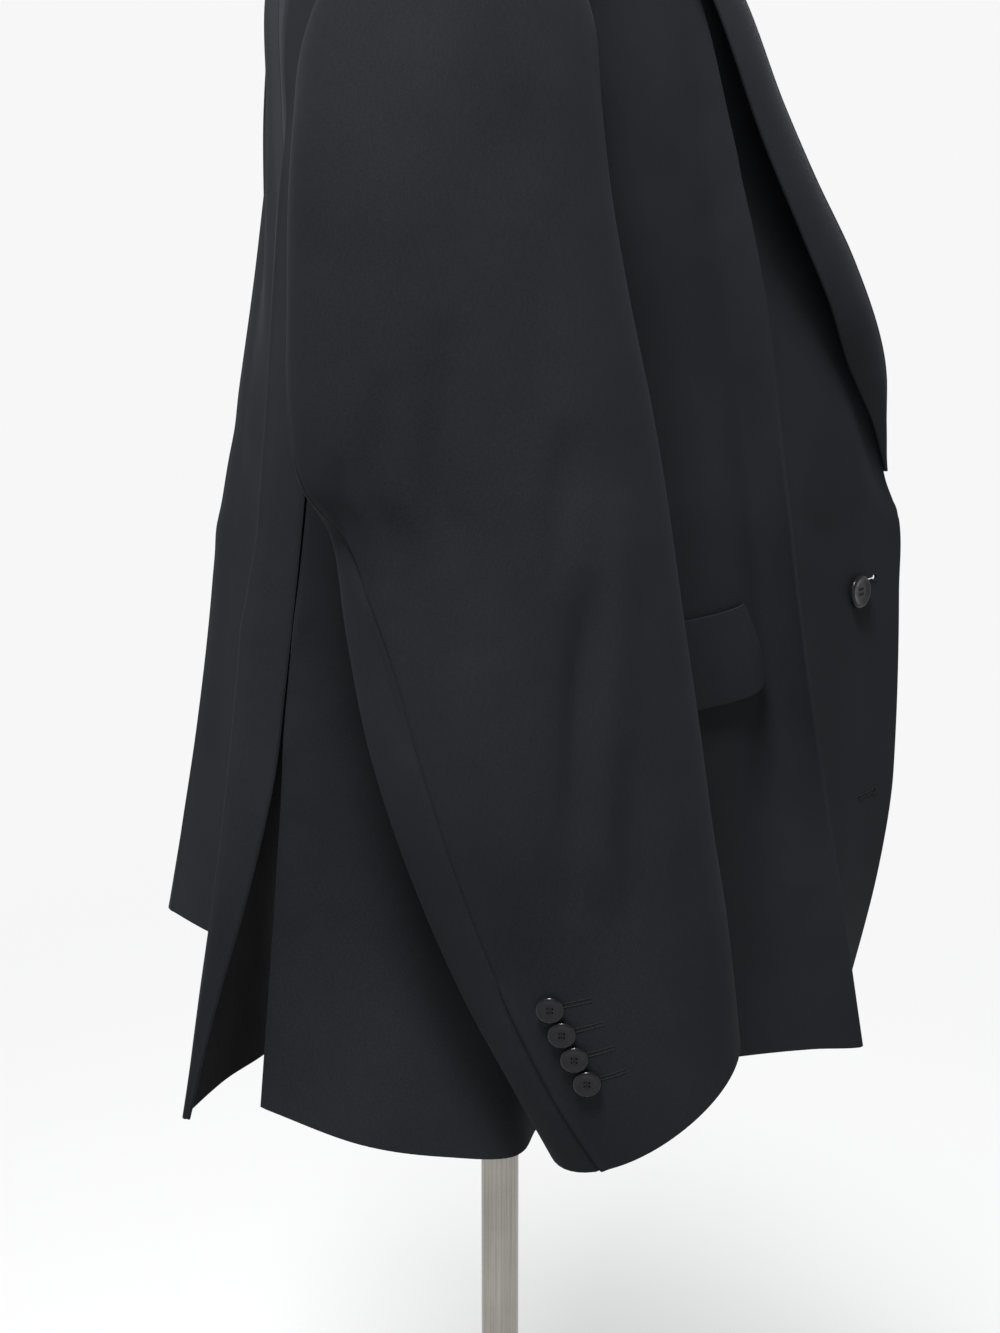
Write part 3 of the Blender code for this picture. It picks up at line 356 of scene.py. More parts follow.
# Turned and tubular parts: sides, and the angles from which an edge stays sharp.
BUTTON_SIDES, HOLE_SIDES, TUBE_SIDES, STAND_SIDES, FORM_SIDES = 64, 16, 8, 96, 144
SHARP_CLOTH, SHARP_FORM, SHARP_TURNED, SHARP_THREAD = 60, 50, 35, 80
TUBE_HELPER = (0.31, 0.53, 0.79)        # a direction that no tube runs along
NEAR_UPRIGHT, UP = 0.9, (0, 0, 1)
ROUND_STEPS, ROUND_REACH = 4, 0.45      # of a rounded corner, and its share of a side at most
BUTTON_ROUND = 0.0009
BUTTON_EDGE, BACK_INSET = 0.3, 2.4      # its edge in thicknesses, its back in edges
RIM_TOP, RIM_FOOT, RIM_DROP, DISH_CENTRE = 0.5, 1.9, 0.3, 0.31      # in rims, rims, dishes, mm
# Holes and thread of a front button; those of the cuff are smaller by its diameter. A thread
# runs from hole to hole, bends at a share of its run and has its heights from the dish.
HOLE_SPREAD, HOLE_RADIUS, THREAD_RADIUS = 1.55, 0.95, 0.3
HOLE_CORNERS = ((1, 1), (-1, 1), (-1, -1), (1, -1))
THREAD_PAIRS, THREAD_SHIFT = ((0, 1), (3, 2)), 0.3
THREAD_BEND, THREAD_DEPTH, THREAD_SINK, THREAD_RISE = 0.06, -1.2, -0.1, 0.25
# Buttonholes: turn and level of the round end, then sizes of the stitched edge and the cut.
BUTTONHOLES = {"upper": (23.0, 254.4), "lower": (23.0, 116.0)}
BUTTONHOLE_LENGTH, BUTTONHOLE_HALF, BUTTONHOLE_POINTS = 19.0, 0.7, 12
BUTTONHOLE_THREAD, BUTTONHOLE_LIFT = 0.45, 0.1
EYELET, EYELET_BORDER, SLIT_START, SLIT_HALF, CUT_DEPTH = 1.8, 0.5, 3.0, 0.25, 3.0
EYE_ANGLES = np.radians(np.linspace(60, 300, 13))
# The cuff's sham buttonholes: from and to, beside each button, and the two threads of each.
SHAM_SPAN, SHAM_POINTS, SHAM_HALF, SHAM_THREAD, SHAM_LIFT = (5.0, 18.0), 10, 0.8, 0.3, -0.05
CUFF_SEARCH = (0.0, 4.0, 0.02)          # rings among which the cuff's buttons lie
FORM_SEAMS, FORM_SEAM_SOFT, FORM_SEAM_DIP = (0, 60, 90, 120, 180, 240, 270, 300), 2.2, 0.9
FORM_CLOSE, FORM_CLOSE_STEP, FORM_START, FORM_STEP = 8, 1.5, 10, 6.0    # rings, from below
CAP_PROFILE = ((0.97, 0), (1, 0.2), (0.99, 0.7), (0.8, 1), (0.01, 1))   # shares of its size
CAP_BACK, BASE_MIDDLE, HUB_SHOULDER = 0.002, 0.03, 0.6      # the last is a share of its height
TURNED_ROUND = {"form_cap": 0.003, "stand_base": 0.002, "stand_pole": 0.0005,
                "stand_hub": 0.0025}

# Studio: the camera's place and axes, and the pale backdrop.
CAMERA_PLACE = (-1.5842, 0.2246, 1.3377)
CAMERA_RIGHT = (-0.1404, -0.9901, 0.0)
CAMERA_UP = (0.2563, -0.0363, 0.9659)
CAMERA_LENS, SENSOR_WIDTH, CAMERA_CLIP = 72.92, 36.0, (0.05, 100.0)
BACKDROP, CEILING = (0.93, 0.93, 0.93), (0.18, 0.185, 0.20)
CEILING_SPAN = (0.2, 0.5)               # heights over which the backdrop darkens to it
FLOOR_RADIUS, FLOOR_THICK = 30.0, 0.002
FLOOR_FADE = (0.3, 2.4, 0.35, 1.0)      # from and to, in metres, and the backdrop's shares
FLOOR_SOCKETS = {"Roughness": 0.9, "Specular IOR Level": 0.1, "Base Color": (0.82, 0.82, 0.82, 1)}
LIGHT_COLUMNS = ("name", "place", "target", "size", "power")
LIGHTS = (
    ("key", (-1.2, 0.5, 3.5), (-0.1, 0.0, 1.15), (0.7, 0.7), 165.0),
    ("front_fill", (-1.2, -2.8, 1.9), (0.0, 0.0, 1.1), (1.8, 1.8), 2.5),
    ("far_side", (2.6, -0.6, 2.2), (0.0, 0.0, 1.1), (1.8, 1.8), 30.0),
)

# Finishes. A grain is a noise: its scale, detail, roughness, stretch and turn. Those of the
# weave lie on the flat cloth, the others in the object's own space. Tone, gloss and relief each
# add grains up by their shares. Tone has the span that runs from the dark to the light colour,
# gloss the roughness at each end of its span, and relief its strength and depth.
WEAVE_GRAINS, TWILL_DISTORTION, GLOSS_SPAN = ("slub", "twill"), 0.6, (0.3, 0.7)
FINISHES = {
    "worsted_wool": {
        "sockets": {"Sheen Weight": 0.012, "Sheen Roughness": 0.5,
                    "Sheen Tint": (0.75, 0.80, 1.0, 1), "Specular IOR Level": 0.05},
        "grains": {"fluff": (900, 3, 0.6), "slub": (900, 2, 0.5, (1, 0.3, 1), 35),
                   "wander": (9, 3, 0.55), "twill": (420, 1)},
        "tone": ({"slub": 0.165, "fluff": 0.385, "wander": 0.45}, 0.32, 0.68),
        "colours": ((0.0078, 0.0082, 0.0098), (0.0150, 0.0157, 0.0182)),
        "gloss": ({"fluff": 1}, 0.80, 0.94),
        "relief": ({"twill": 0.35, "slub": 0.3, "fluff": 0.7}, 0.35, 0.00025)},
    "black_lining": {
        "sockets": {"Specular IOR Level": 0.04, "Anisotropic": 0.4},
        "grains": {"rib": (1100, 2, 0.5, (1, 1, 0.05)), "wander": (30, 3)},
        "tone": ({"wander": 1}, 0, 1),
        "colours": ((0.0025, 0.0025, 0.003), (0.006, 0.006, 0.007)),
        "gloss": ({"rib": 1}, 0.66, 0.78),
        "relief": ({"rib": 1}, 0.2, 0.0002)},
    "black_thread": {
        "sockets": {"Specular IOR Level": 0.12},
        "grains": {"strand": (1600, 2)},
        "tone": ({"strand": 1}, 0, 1),
        "colours": ((0.006, 0.006, 0.007), (0.016, 0.016, 0.019)),
        "gloss": ({"strand": 1}, 0.65, 0.85),
        "relief": ({"strand": 1}, 0.6, 0.0003)},
    "button_resin": {
        "sockets": {"Coat Weight": 0.07, "Coat Roughness": 0.1, "Specular IOR Level": 0.17},
        "grains": {"cloud": (260, 4, 0.6), "scuff": (1400, 3, 0.6)},
        "tone": ({"cloud": 1}, 0, 1),
        "colours": ((0.003, 0.003, 0.004), (0.012, 0.012, 0.014)),
        "gloss": ({"scuff": 1}, 0.16, 0.30),
        "relief": ({"scuff": 1}, 0.08, 0.0002)},
    "form_linen": {
        "sockets": {"Sheen Weight": 0.15, "Sheen Roughness": 0.5, "Specular IOR Level": 0.3},
        "grains": {"warp": (1500, 2, 0.5, (1, 1, 0.06)), "weft": (1300, 2, 0.5, (0.08, 0.08, 1)),
                   "wander": (14, 3)},
        "tone": ({"warp": 0.3, "weft": 0.3, "wander": 0.4}, 0.35, 0.65),
        "colours": ((0.46, 0.42, 0.35), (0.62, 0.58, 0.51)),
        "gloss": ({"warp": 0.5, "weft": 0.5}, 0.82, 0.94),
        "relief": ({"warp": 0.5, "weft": 0.5}, 0.5, 0.0006)},
    "drawn_steel": {
        "sockets": {"Metallic": 1.0, "Anisotropic": 0.5},
        "grains": {"streak": (900, 3, 0.5, (1, 1, 0.01)), "smear": (22, 3)},
        "tone": ({"streak": 0.6, "smear": 0.4}, 0.3, 0.7),
        "colours": ((0.22, 0.21, 0.185), (0.35, 0.335, 0.30)),
        "gloss": ({"streak": 0.6, "smear": 0.4}, 0.2, 0.36),
        "relief": ({"streak": 1}, 0.1, 0.0002)},
    "powder_paint": {
        "sockets": {"Coat Weight": 0.15, "Coat Roughness": 0.3},
        "grains": {"grain": (700, 3), "dust": (16, 4, 0.6)},
        "tone": ({"dust": 1}, 0.35, 0.7),
        "colours": ((0.60, 0.60, 0.59), (0.68, 0.68, 0.68)),
        "gloss": ({"dust": 1}, 0.36, 0.5),
        "relief": ({"grain": 1}, 0.25, 0.0003)},
    "turned_wood": {
        "sockets": {"Coat Weight": 0.3, "Coat Roughness": 0.2},
        "grains": {"grain": (130, 5, 0.6, (1, 0.14, 1)), "pore": (900, 2, 0.5, (1, 0.05, 1))},
        "tone": ({"grain": 0.7, "pore": 0.3}, 0.35, 0.65),
        "colours": ((0.11, 0.05, 0.02), (0.32, 0.18, 0.09)),
        "gloss": ({"grain": 1}, 0.32, 0.46),
        "relief": ({"grain": 0.7, "pore": 0.3}, 0.15, 0.0004)},
}


# ---- curves and surfaces

class Curve:
    """Cubic curve through values at uneven knots, straight beyond its ends. Values with three
    axes hold several curves on the same knots, one a row."""

    def __init__(self, knots, values):
        self.knots = np.asarray(knots, float)
        self.values = np.asarray(values, float)
        steps = np.diff(self.knots)[:, None]
        chords = np.diff(self.values, axis=-2) / steps
        before, after = steps[:-1], steps[1:]
        inner = (chords[..., :-1, :] * after + chords[..., 1:, :] * before) / (before + after)
        ends = chords[..., :1, :], chords[..., -1:, :]
        self.slopes = np.concatenate((ends[0], inner, ends[1]), axis=-2)

    def __call__(self, at, row=None):
        """One point for each value of at, on the curve of its row."""
        at = np.asarray(at, float)
        held = np.clip(at, self.knots[0], self.knots[-1])
        i = np.clip(np.searchsorted(self.knots, held, side="right") - 1, 0, len(self.knots) - 2)
        low = (i,) if row is None else (row, i)
        high = (i + 1,) if row is None else (row, i + 1)
        step = (self.knots[i + 1] - self.knots[i])[..., None]
        t = (held - self.knots[i])[..., None] / step
        start = (1 + 2 * t) * (1 - t) ** 2 * self.values[low]
        start = start + t * (1 - t) ** 2 * step * self.slopes[low]
        end = t * t * (3 - 2 * t) * self.values[high] + t * t * (t - 1) * step * self.slopes[high]
        beyond = (at - held)[..., None]
        return start + end + beyond * np.where(beyond < 0, self.slopes[low], self.slopes[high])


def unit(vectors):
    return vectors / np.linalg.norm(vectors, axis=-1, keepdims=True)


def shoulder_up(aside):
    """Height of the shoulder line, or of the neck seam nearer the centre back."""
    if aside >= NECK_ASIDE:
        along = (aside - NECK_ASIDE) / (TIP_ASIDE - NECK_ASIDE)
        return NECK_UP + along * (TIP_UP - NECK_UP)
    return NECK_UP - NAPE_DIP * (1 - (aside / NECK_ASIDE) ** 2)


def section_point(level, pair):
    aside, y = pair
    if level in TOP_LEVELS:
        return (aside, y, shoulder_up(aside) - TOP_LEVELS[level])
    return (aside, y, level)


def world(side, points):
    """World places of points (aside, y, up), given in millimetres, of one half."""
    scale = np.array((OUTWARD[side], 1.0, 1.0)) * MM
    return np.asarray(points, float) * scale + np.array((0.0, 0.0, HEM_HEIGHT))


class Strip:
    """Surface through named columns, each a curve in height; its points are (aside, y, up)."""

    def __init__(self, *tables):
        self.names, self.curves = [], []
        for columns, rows in tables:
            levels = [row[0] for row in rows]
            for k, name in enumerate(columns[1:], 1):
                self.names.append(name)
                self.curves.append(Curve(levels, [section_point(row[0], row[k]) for row in rows]))
        rings = self.rings(np.array(STRIP_LEVELS))
        lengths = np.linalg.norm(np.diff(rings, axis=1), axis=2).mean(axis=0)
        self.turns = np.concatenate(([0.0], np.cumsum(lengths)))

    def rings(self, levels):
        return np.stack([curve(levels) for curve in self.curves], axis=1)

    def turn(self, name):
        return self.turns[self.names.index(name)]

    def points(self, turns, levels):
        turns, levels = np.broadcast_arrays(np.asarray(turns, float), np.asarray(levels, float))
        found, row = np.unique(levels, return_inverse=True)
        flat = Curve(self.turns, self.rings(found))(turns.ravel(), row.ravel())
        return flat.reshape(turns.shape + (3,))

    def level_line(self, shape):
        """Level as a curve through named columns."""
        curve = Curve([self.turn(name) for name, _ in shape], [[level] for _, level in shape])
        return lambda turns: curve(turns)[..., 0]


def crease_height(creases, turn, level):
    """Millimetres that soft troughs (below 0) and ridges along short lines add to a piece."""
    total = np.zeros(np.shape(turn))
    for row in creases:
        crease = dict(zip(CREASE_COLUMNS, row))
        start = np.array((crease["turn"], crease["level"]), float)
        run = np.array((crease["to_turn"], crease["to_level"]), float) - start
        length = np.linalg.norm(run)
        along = ((turn - start[0]) * run[0] + (level - start[1]) * run[1]) / length ** 2
        across = ((turn - start[0]) * run[1] - (level - start[1]) * run[0]) / length
        fade = np.sin(pi * np.clip(along, 0, 1)) ** CREASE_FADE
        total += crease["height"] * fade * np.exp(-(across / crease["width"]) ** 2)
    return total


class Body:
    """Cloth of one half of the front or back: its form with the creases laid on it."""

    def __init__(self, side, strip, creases):
        self.side, self.strip, self.creases = side, strip, creases
        self.turn = strip.turn

    def bare(self, turn, level):
        return world(self.side, self.strip.points(turn, level))

    def normal(self, turn, level):
        across = self.bare(turn + NORMAL_STEP, level) - self.bare(turn - NORMAL_STEP, level)
        up = self.bare(turn, level + NORMAL_STEP) - self.bare(turn, level - NORMAL_STEP)
        return unit(np.cross(up, across)) * -OUTWARD[self.side]

    def middle_normal(self, turns):
        return self.normal(turns[len(turns) // 2], PANEL_HEIGHT / 2)

    def place(self, turn, level, lift=0.0):
        """World points, lifted outwards by a number of millimetres."""
        turn, level = np.broadcast_arrays(np.asarray(turn, float), np.asarray(level, float))
        height = crease_height(self.creases, turn, level) + lift
        return self.bare(turn, level) + self.normal(turn, level) * (height * MM)[..., None]


# ---- meshes

def fine_steps(first, last, step, extra=()):
    """Even steps, with closer ones at both ends and beside the extra places."""
    ends = np.array(EDGE_STEPS)
    count = max(2, int(round((last - first - 2 * ends[-1]) / step)))
    steps = [first + ends, np.linspace(first + ends[-1], last - ends[-1], count + 1)[1:-1],
             last - ends[::-1]]
    for place in extra:
        steps.append(place + np.array(CLOSE_STEPS))
    merged = np.unique(np.round(np.concatenate(steps), 3))
    keep = np.concatenate(([True], np.diff(merged) > MIN_STEP))
    keep[-1] = True
    return merged[keep]


def grid_normals(grid):
    along = np.gradient(grid, axis=0, edge_order=2)
    up = np.gradient(grid, axis=1, edge_order=2)
    return unit(np.cross(along, up))


def seam_dip(distance):
    """A sewn edge turns in, over the last millimetres before the seam."""
    return -SEAM_DIP * np.exp(-(distance / SEAM_SOFT) ** 2)


def plain_object(name, points, faces):
    mesh = bpy.data.meshes.new(name)
    mesh.from_pydata(np.asarray(points, float).tolist(), [], faces)
    made = bpy.data.objects.new(name, mesh)
    bpy.context.scene.collection.objects.link(made)
    return made


def smooth(made, sharp):
    """Smooth shading, with the edges from so many degrees on left sharp."""
    made.data.shade_smooth()
    made.data.set_sharp_from_angle(angle=radians(sharp))


def make_object(name, points, faces, materials, sharp):
    made = plain_object(name, points, faces)
    made.data.validate()
    smooth(made, sharp)
    for material in materials:
        made.data.materials.append(material)
    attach(made, "root")
    return made


def facing_out(points, faces):
    """The faces of a closed mesh of quads, turned to face out."""
    points, quads = np.asarray(points), np.array(faces)
    a, b, c, d = (points[quads[:, k]] for k in range(4))
    volume = np.sum(a * np.cross(b, c)) + np.sum(a * np.cross(c, d))
    return [tuple(reversed(face)) for face in faces] if volume < 0 else faces


def quads_between(first, second):
    """Quads between two closed rings of vertex numbers."""
    return [(first[i - 1], first[i], second[i], second[i - 1]) for i in range(len(first))]


def add_wall(name, grid, cut, thickness, materials, outward=None):
    """Closed wall with rounded edges about a grid of points. cut holds each point's place on
    the flat cloth, in millimetres, for the weave. The second material, where there is one,
    lines the side that faces away from outward at the grid's middle."""
    wide, tall = grid.shape[:2]
    normals = grid_normals(grid)
    if outward is not None and np.dot(normals[wide // 2, tall // 2], outward) < 0:
        normals = -normals
    offset = (normals * thickness / 2).reshape(-1, 3)
    flat, count = grid.reshape(-1, 3), wide * tall
    index = np.arange(count).reshape(wide, tall)
    border = np.concatenate((index[:, 0], index[-1, 1:], index[-2::-1, -1], index[0, -2:0:-1]))
    inner = np.concatenate((index[:, 1], index[-2, 1:], index[-2::-1, -2], index[1, -2:0:-1]))
    rim = flat[border] + unit(flat[border] - flat[inner]) * thickness * EDGE_ROUND
    points = np.concatenate((flat + offset, flat - offset, rim))
    corners = [index[:-1, :-1], index[1:, :-1], index[1:, 1:], index[:-1, 1:]]
    outer = np.stack([corner.ravel() for corner in corners], axis=1)
    faces = [tuple(face) for face in outer.tolist()]
    faces += [tuple(face) for face in (outer[:, ::-1] + count).tolist()]
    middle = np.arange(2 * count, len(points))
    faces += quads_between(middle.tolist(), border.tolist())
    faces += quads_between((border + count).tolist(), middle.tolist())
    made = make_object(name, points, facing_out(points, faces), materials, SHARP_CLOTH)
    if outward is not None:
        lined = np.zeros(len(faces), np.int32)
        lined[len(outer):2 * len(outer)] = 1
        made.data.polygons.foreach_set("material_index", lined)
    places = np.zeros((len(points), 3), np.float32)
    spots = cut.reshape(-1, 2) * MM
    places[:, :2] = np.concatenate((spots, spots, spots[border]))
    made.data.attributes.new(CUT, "FLOAT_VECTOR", "POINT").data.foreach_set(
        "vector", places.ravel())
    return made


def add_cloth(piece, side, grid, cut, thickness, materials, outward=None):
    """A piece of cloth: its wall, which takes the place of the node that it stands for."""
    tail = "_" + side if side else ""
    made = add_wall(piece + "_shell" + tail, grid, cut, thickness, materials, outward)
    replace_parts(made, piece + tail)
    return made


def lathe_frame(axis):
    axis = unit(np.asarray(axis, float))
    helper = np.array((0.0, 0.0, 1.0) if abs(axis[2]) < NEAR_UPRIGHT else (0.0, 1.0, 0.0))
    u = unit(np.cross(helper, axis))
    return u, np.cross(axis, u), axis


def stacked(sides, count):
    """Faces of a closed body of several stacked rings of points, its ends capped."""
    last = (count - 1) * sides
    faces = [tuple(range(sides - 1, -1, -1)), tuple(range(last, last + sides))]
    for start in range(0, last, sides):
        low = list(range(start, start + sides))
        faces += quads_between(low, [i + sides for i in low])
    return faces


def lathe(profile, centre, axis, sides):
    """Points and faces of a closed body turned from (radius, height)."""
    u, v, axis = lathe_frame(axis)
    angles = np.arange(sides) * 2 * pi / sides
    around = np.cos(angles)[:, None] * u + np.sin(angles)[:, None] * v
    points = [centre + axis * height + around * radius for radius, height in profile]
    return np.concatenate(points), stacked(sides, len(profile))


def rounded(profile, radius):
    """A profile whose inner corners are rounded to about a radius."""
    points = np.array(profile, float)
    made = [tuple(points[0])]
    for before, corner, after in zip(points, points[1:], points[2:]):
        back, ahead = before - corner, after - corner
        reach = min(radius, *(ROUND_REACH * np.linalg.norm(side) for side in (back, ahead)))
        start, end = corner + unit(back) * reach, corner + unit(ahead) * reach
        for k in range(ROUND_STEPS + 1):
            t = k / ROUND_STEPS
            made.append(tuple((1 - t) ** 2 * start + 2 * t * (1 - t) * corner + t * t * end))
    made.append(tuple(points[-1]))
    return made


def tube(path, radius, closed=False):
    """Points and faces of a round tube along a path."""
    path = np.asarray(path, float)
    if closed:
        ahead = np.roll(path, -1, axis=0) - np.roll(path, 1, axis=0)
    else:
        ahead = np.gradient(path, axis=0)
    ahead = unit(ahead)
    u = unit(np.cross(ahead, np.array(TUBE_HELPER)))
    v = np.cross(ahead, u)
    angles = (np.arange(TUBE_SIDES) * 2 * pi / TUBE_SIDES)[None, :, None]
    ring = np.cos(angles) * u[:, None] + np.sin(angles) * v[:, None]
    points = (path[:, None] + ring * radius).reshape(-1, 3)
    rings = np.arange(len(points)).reshape(-1, TUBE_SIDES).tolist()
    faces = []
    for before, after in zip(rings, rings[1:] + rings[:1] * closed):
        faces += quads_between(before, after)
    if not closed:
        faces += [tuple(rings[0][::-1]), tuple(rings[-1])]
    return points, faces


def joined(parts):
    """Points and faces of several meshes as one."""
    points, faces, start = [], [], 0
    for part_points, part_faces in parts:
        points.append(part_points)
        faces += [tuple(i + start for i in face) for face in part_faces]
        start += len(part_points)
    return np.concatenate(points), faces


# ---- materials

def node(tree, kind, inputs=None, **settings):
    """A shader node with its settings, and its inputs linked or given a value."""
    made = tree.nodes.new("ShaderNode" + kind)
    for key, value in settings.items():
        setattr(made, key, value)
    for name, value in (inputs or {}).items():
        if isinstance(value, bpy.types.NodeSocket):
            tree.links.new(value, made.inputs[name])
        else:
            made.inputs[name].default_value = value
    return made


def new_material(name, sockets):
    """A material, its node tree and its Principled shader with constant sockets set."""
    made = bpy.data.materials.new(name)
    made.use_nodes = True
    shader = made.node_tree.nodes["Principled BSDF"]
    for socket, value in sockets.items():
        shader.inputs[socket].default_value = value
    return made, made.node_tree, shader


def remap(tree, value, low, high, to_low, to_high):
    inputs = {"Value": value, "From Min": low, "From Max": high, "To Min": to_low,
              "To Max": to_high}
    return node(tree, "MapRange", inputs).outputs["Result"]


def combine(tree, operation, first, second):
    made = node(tree, "Math", operation=operation)
    for socket, value in zip(made.inputs, (first, second)):
        if isinstance(value, bpy.types.NodeSocket):
            tree.links.new(value, socket)
        else:
            socket.default_value = value
    return made.outputs["Value"]


def colour_between(tree, amount, first, second):
    made = node(tree, "Mix", data_type="RGBA")
    tree.links.new(amount, made.inputs[0])
    sockets = [socket for socket in made.inputs if socket.type == "RGBA"]
    sockets[0].default_value, sockets[1].default_value = (*first, 1), (*second, 1)
    return next(socket for socket in made.outputs if socket.type == "RGBA")


def add_grain(tree, name, scale, detail, roughness=0.5, stretch=None, turn=0):
    """The value of one grain: a noise, or for the twill a slanting wave."""
    if name in WEAVE_GRAINS:
        place = node(tree, "Attribute", attribute_name=CUT).outputs["Vector"]
    else:
        place = node(tree, "TexCoord").outputs["Object"]
    if stretch:
        inputs = {"Vector": place, "Scale": stretch, "Rotation": (0.0, 0.0, radians(turn))}
        place = node(tree, "Mapping", inputs).outputs["Vector"]
    inputs = {"Vector": place, "Scale": scale, "Detail": detail}
    if name == "twill":
        inputs["Distortion"] = TWILL_DISTORTION
        return node(tree, "TexWave", inputs, bands_direction="DIAGONAL").outputs["Fac"]
    inputs["Roughness"] = roughness
    return node(tree, "TexNoise", inputs).outputs["Fac"]


def mixed(tree, grains, shares):
    """The sum of several grains by their shares."""
    total = None
    for name, share in shares.items():
        value = grains[name] if share == 1 else combine(tree, "MULTIPLY", grains[name], share)
        total = value if total is None else combine(tree, "ADD", total, value)
    return total


def finish_material(name, sockets, grains, tone, colours, gloss, relief):
    """A material whose colour, roughness and bump come from its grains."""
    made, tree, shader = new_material(name, sockets)
    grains = {key: add_grain(tree, key, *values) for key, values in grains.items()}
    shares, dark, light = tone
    amount = remap(tree, mixed(tree, grains, shares), dark, light, 0.0, 1.0)
    tree.links.new(colour_between(tree, amount, *colours), shader.inputs["Base Color"])
    shares, smoothest, roughest = gloss
    rough = remap(tree, mixed(tree, grains, shares), *GLOSS_SPAN, smoothest, roughest)
    tree.links.new(rough, shader.inputs["Roughness"])
    shares, strength, distance = relief
    inputs = {"Height": mixed(tree, grains, shares), "Strength": strength, "Distance": distance}
    tree.links.new(node(tree, "Bump", inputs).outputs["Normal"], shader.inputs["Normal"])
    return made


# ---- the jacket's body

def pressed(strip, column, top, width, height):
    """The pressed edge of a fold that runs along a column, as a crease."""
    fold = strip.turn(column)
    return fold, PRESS_FOOT, fold + PRESS_LEAN, top, width, height


def front_body(side):
    strip = Strip((EDGE_COLUMNS, EDGE_SECTIONS[side]), (SIDE_COLUMNS, SIDE_SECTIONS))
    return Body(side, strip, FRONT_CREASES[side] + (DART, pressed(strip, *RIDGE_PRESS)))


def back_body(side):
    rows = []
    for level, vent, flute, slope, *rest in BACK_SECTIONS:
        flatter = FLATTER_BACK.get(level, 0) if side == LEFT else 0
        flute, slope = (flute[0], flute[1] - flatter), (slope[0], slope[1] - flatter)
        rows.append((level, vent, flute, slope, *rest))
    strip = Strip((BACK_COLUMNS, rows))
    return Body(side, strip, BACK_CREASES[side] + (pressed(strip, *FLUTE_PRESS),))


def front_hem(body):
    start = body.turn("edge")

    def level(turns):
        across = np.clip(1 - (turns - start) / CUTAWAY_WIDTH, 0, 1)
        curve = (1 - across ** CUTAWAY_POWER) ** (1 / CUTAWAY_POWER)
        return HEM + CUTAWAY_HEIGHT * (1 - curve)

    return level


def panel_grid(body, turns, bottom, top, sewn_before=True, sewn_after=True, sewn_above=False):
    """World points of a panel, and their places on the cloth. Sewn edges dip in."""
    shares = fine_steps(0.0, PANEL_HEIGHT, GRID_STEP) / PANEL_HEIGHT
    low, high = bottom(turns)[:, None], top(turns)[:, None]
    levels = low + (high - low) * shares
    turns = np.broadcast_to(turns[:, None], levels.shape)
    lift = np.zeros(levels.shape)
    if sewn_before:
        lift += seam_dip(turns - turns[0, 0])
    if sewn_after:
        lift += seam_dip(turns[-1, 0] - turns)
    if sewn_above:
        lift += seam_dip(high - levels)
    return body.place(turns, levels, lift), np.stack((turns, levels), axis=-1)


def flat_line(level):
    return lambda turns: np.full(len(turns), float(level))


def add_front(body, side, cloths):
    turns = fine_steps(FREE_EDGE, body.turn("fore_seam") - SEAM_JOIN, GRID_STEP,
                       (DART[0], body.turn("ridge")))
    grid, cut = panel_grid(body, turns, front_hem(body), flat_line(PANEL_TOP),
                           sewn_before=False, sewn_above=True)
    return add_cloth("front", side, grid, cut, CLOTH, cloths,
                     body.middle_normal(turns))


def add_side_panel(body, side, cloths):
    turns = fine_steps(body.turn("fore_seam") + SEAM_JOIN, body.turn("aft_seam") - SEAM_JOIN,
                       GRID_STEP)
    line = body.strip.level_line
    grid, cut = panel_grid(body, turns, line(SIDE_HEM), line(ARMHOLE_SHAPE))
    add_cloth("side_panel", side, grid, cut, CLOTH, cloths,
              body.middle_normal(turns))


def add_back(body, side, cloths):
    turns = fine_steps(SEAM_JOIN, body.turn("spine") - SEAM_JOIN, GRID_STEP,
                       (body.turn("flute"),))
    grid, cut = panel_grid(body, turns, flat_line(HEM), flat_line(PANEL_TOP), sewn_above=True)
    add_cloth("back", side, grid, cut, CLOTH, cloths,
              body.middle_normal(turns))


def lapel_rows(body, outer, side, levels, shares):
    """Rows of points at the levels, from under the roll round it to the lapel's outer edge."""
    edge_turn = np.full(len(levels), body.turn("edge"))
    edge = body.place(edge_turn, levels)
    normal = body.normal(edge_turn, levels)
    inward = unit(body.place(edge_turn + NORMAL_STEP, levels) - edge)
    open_share = np.clip((levels - LAPEL_BREAK) / BELLY_RISE, 0, 1)[:, None]
    radius = (ROLL_RADIUS[0] + (ROLL_RADIUS[1] - ROLL_RADIUS[0]) * open_share) * MM
    rim = world(side, outer.rings(levels)[:, 0])
    angles = np.linspace(0.0, pi, ROLL_POINTS)
    rows = [edge - inward * radius * sin(a) + normal * radius * (1 - cos(a)) for a in angles]
    start = rows[-1]
    face = unit(np.array((OUTWARD[side] * LAPEL_FACING, -1.0, 0.0)))
    grown = np.clip((levels - LAPEL_START) / LAPEL_TAPER, 0, 1)[:, None]
    rim = start + (rim - start) * (LAPEL_NARROW + (1 - LAPEL_NARROW) * np.sin(grown * pi / 2))
    for share in shares:
        belly = LAPEL_BELLY * MM * sin(pi * share) * open_share
        rows.append(start + (rim - start) * share + face * belly)
    return rows


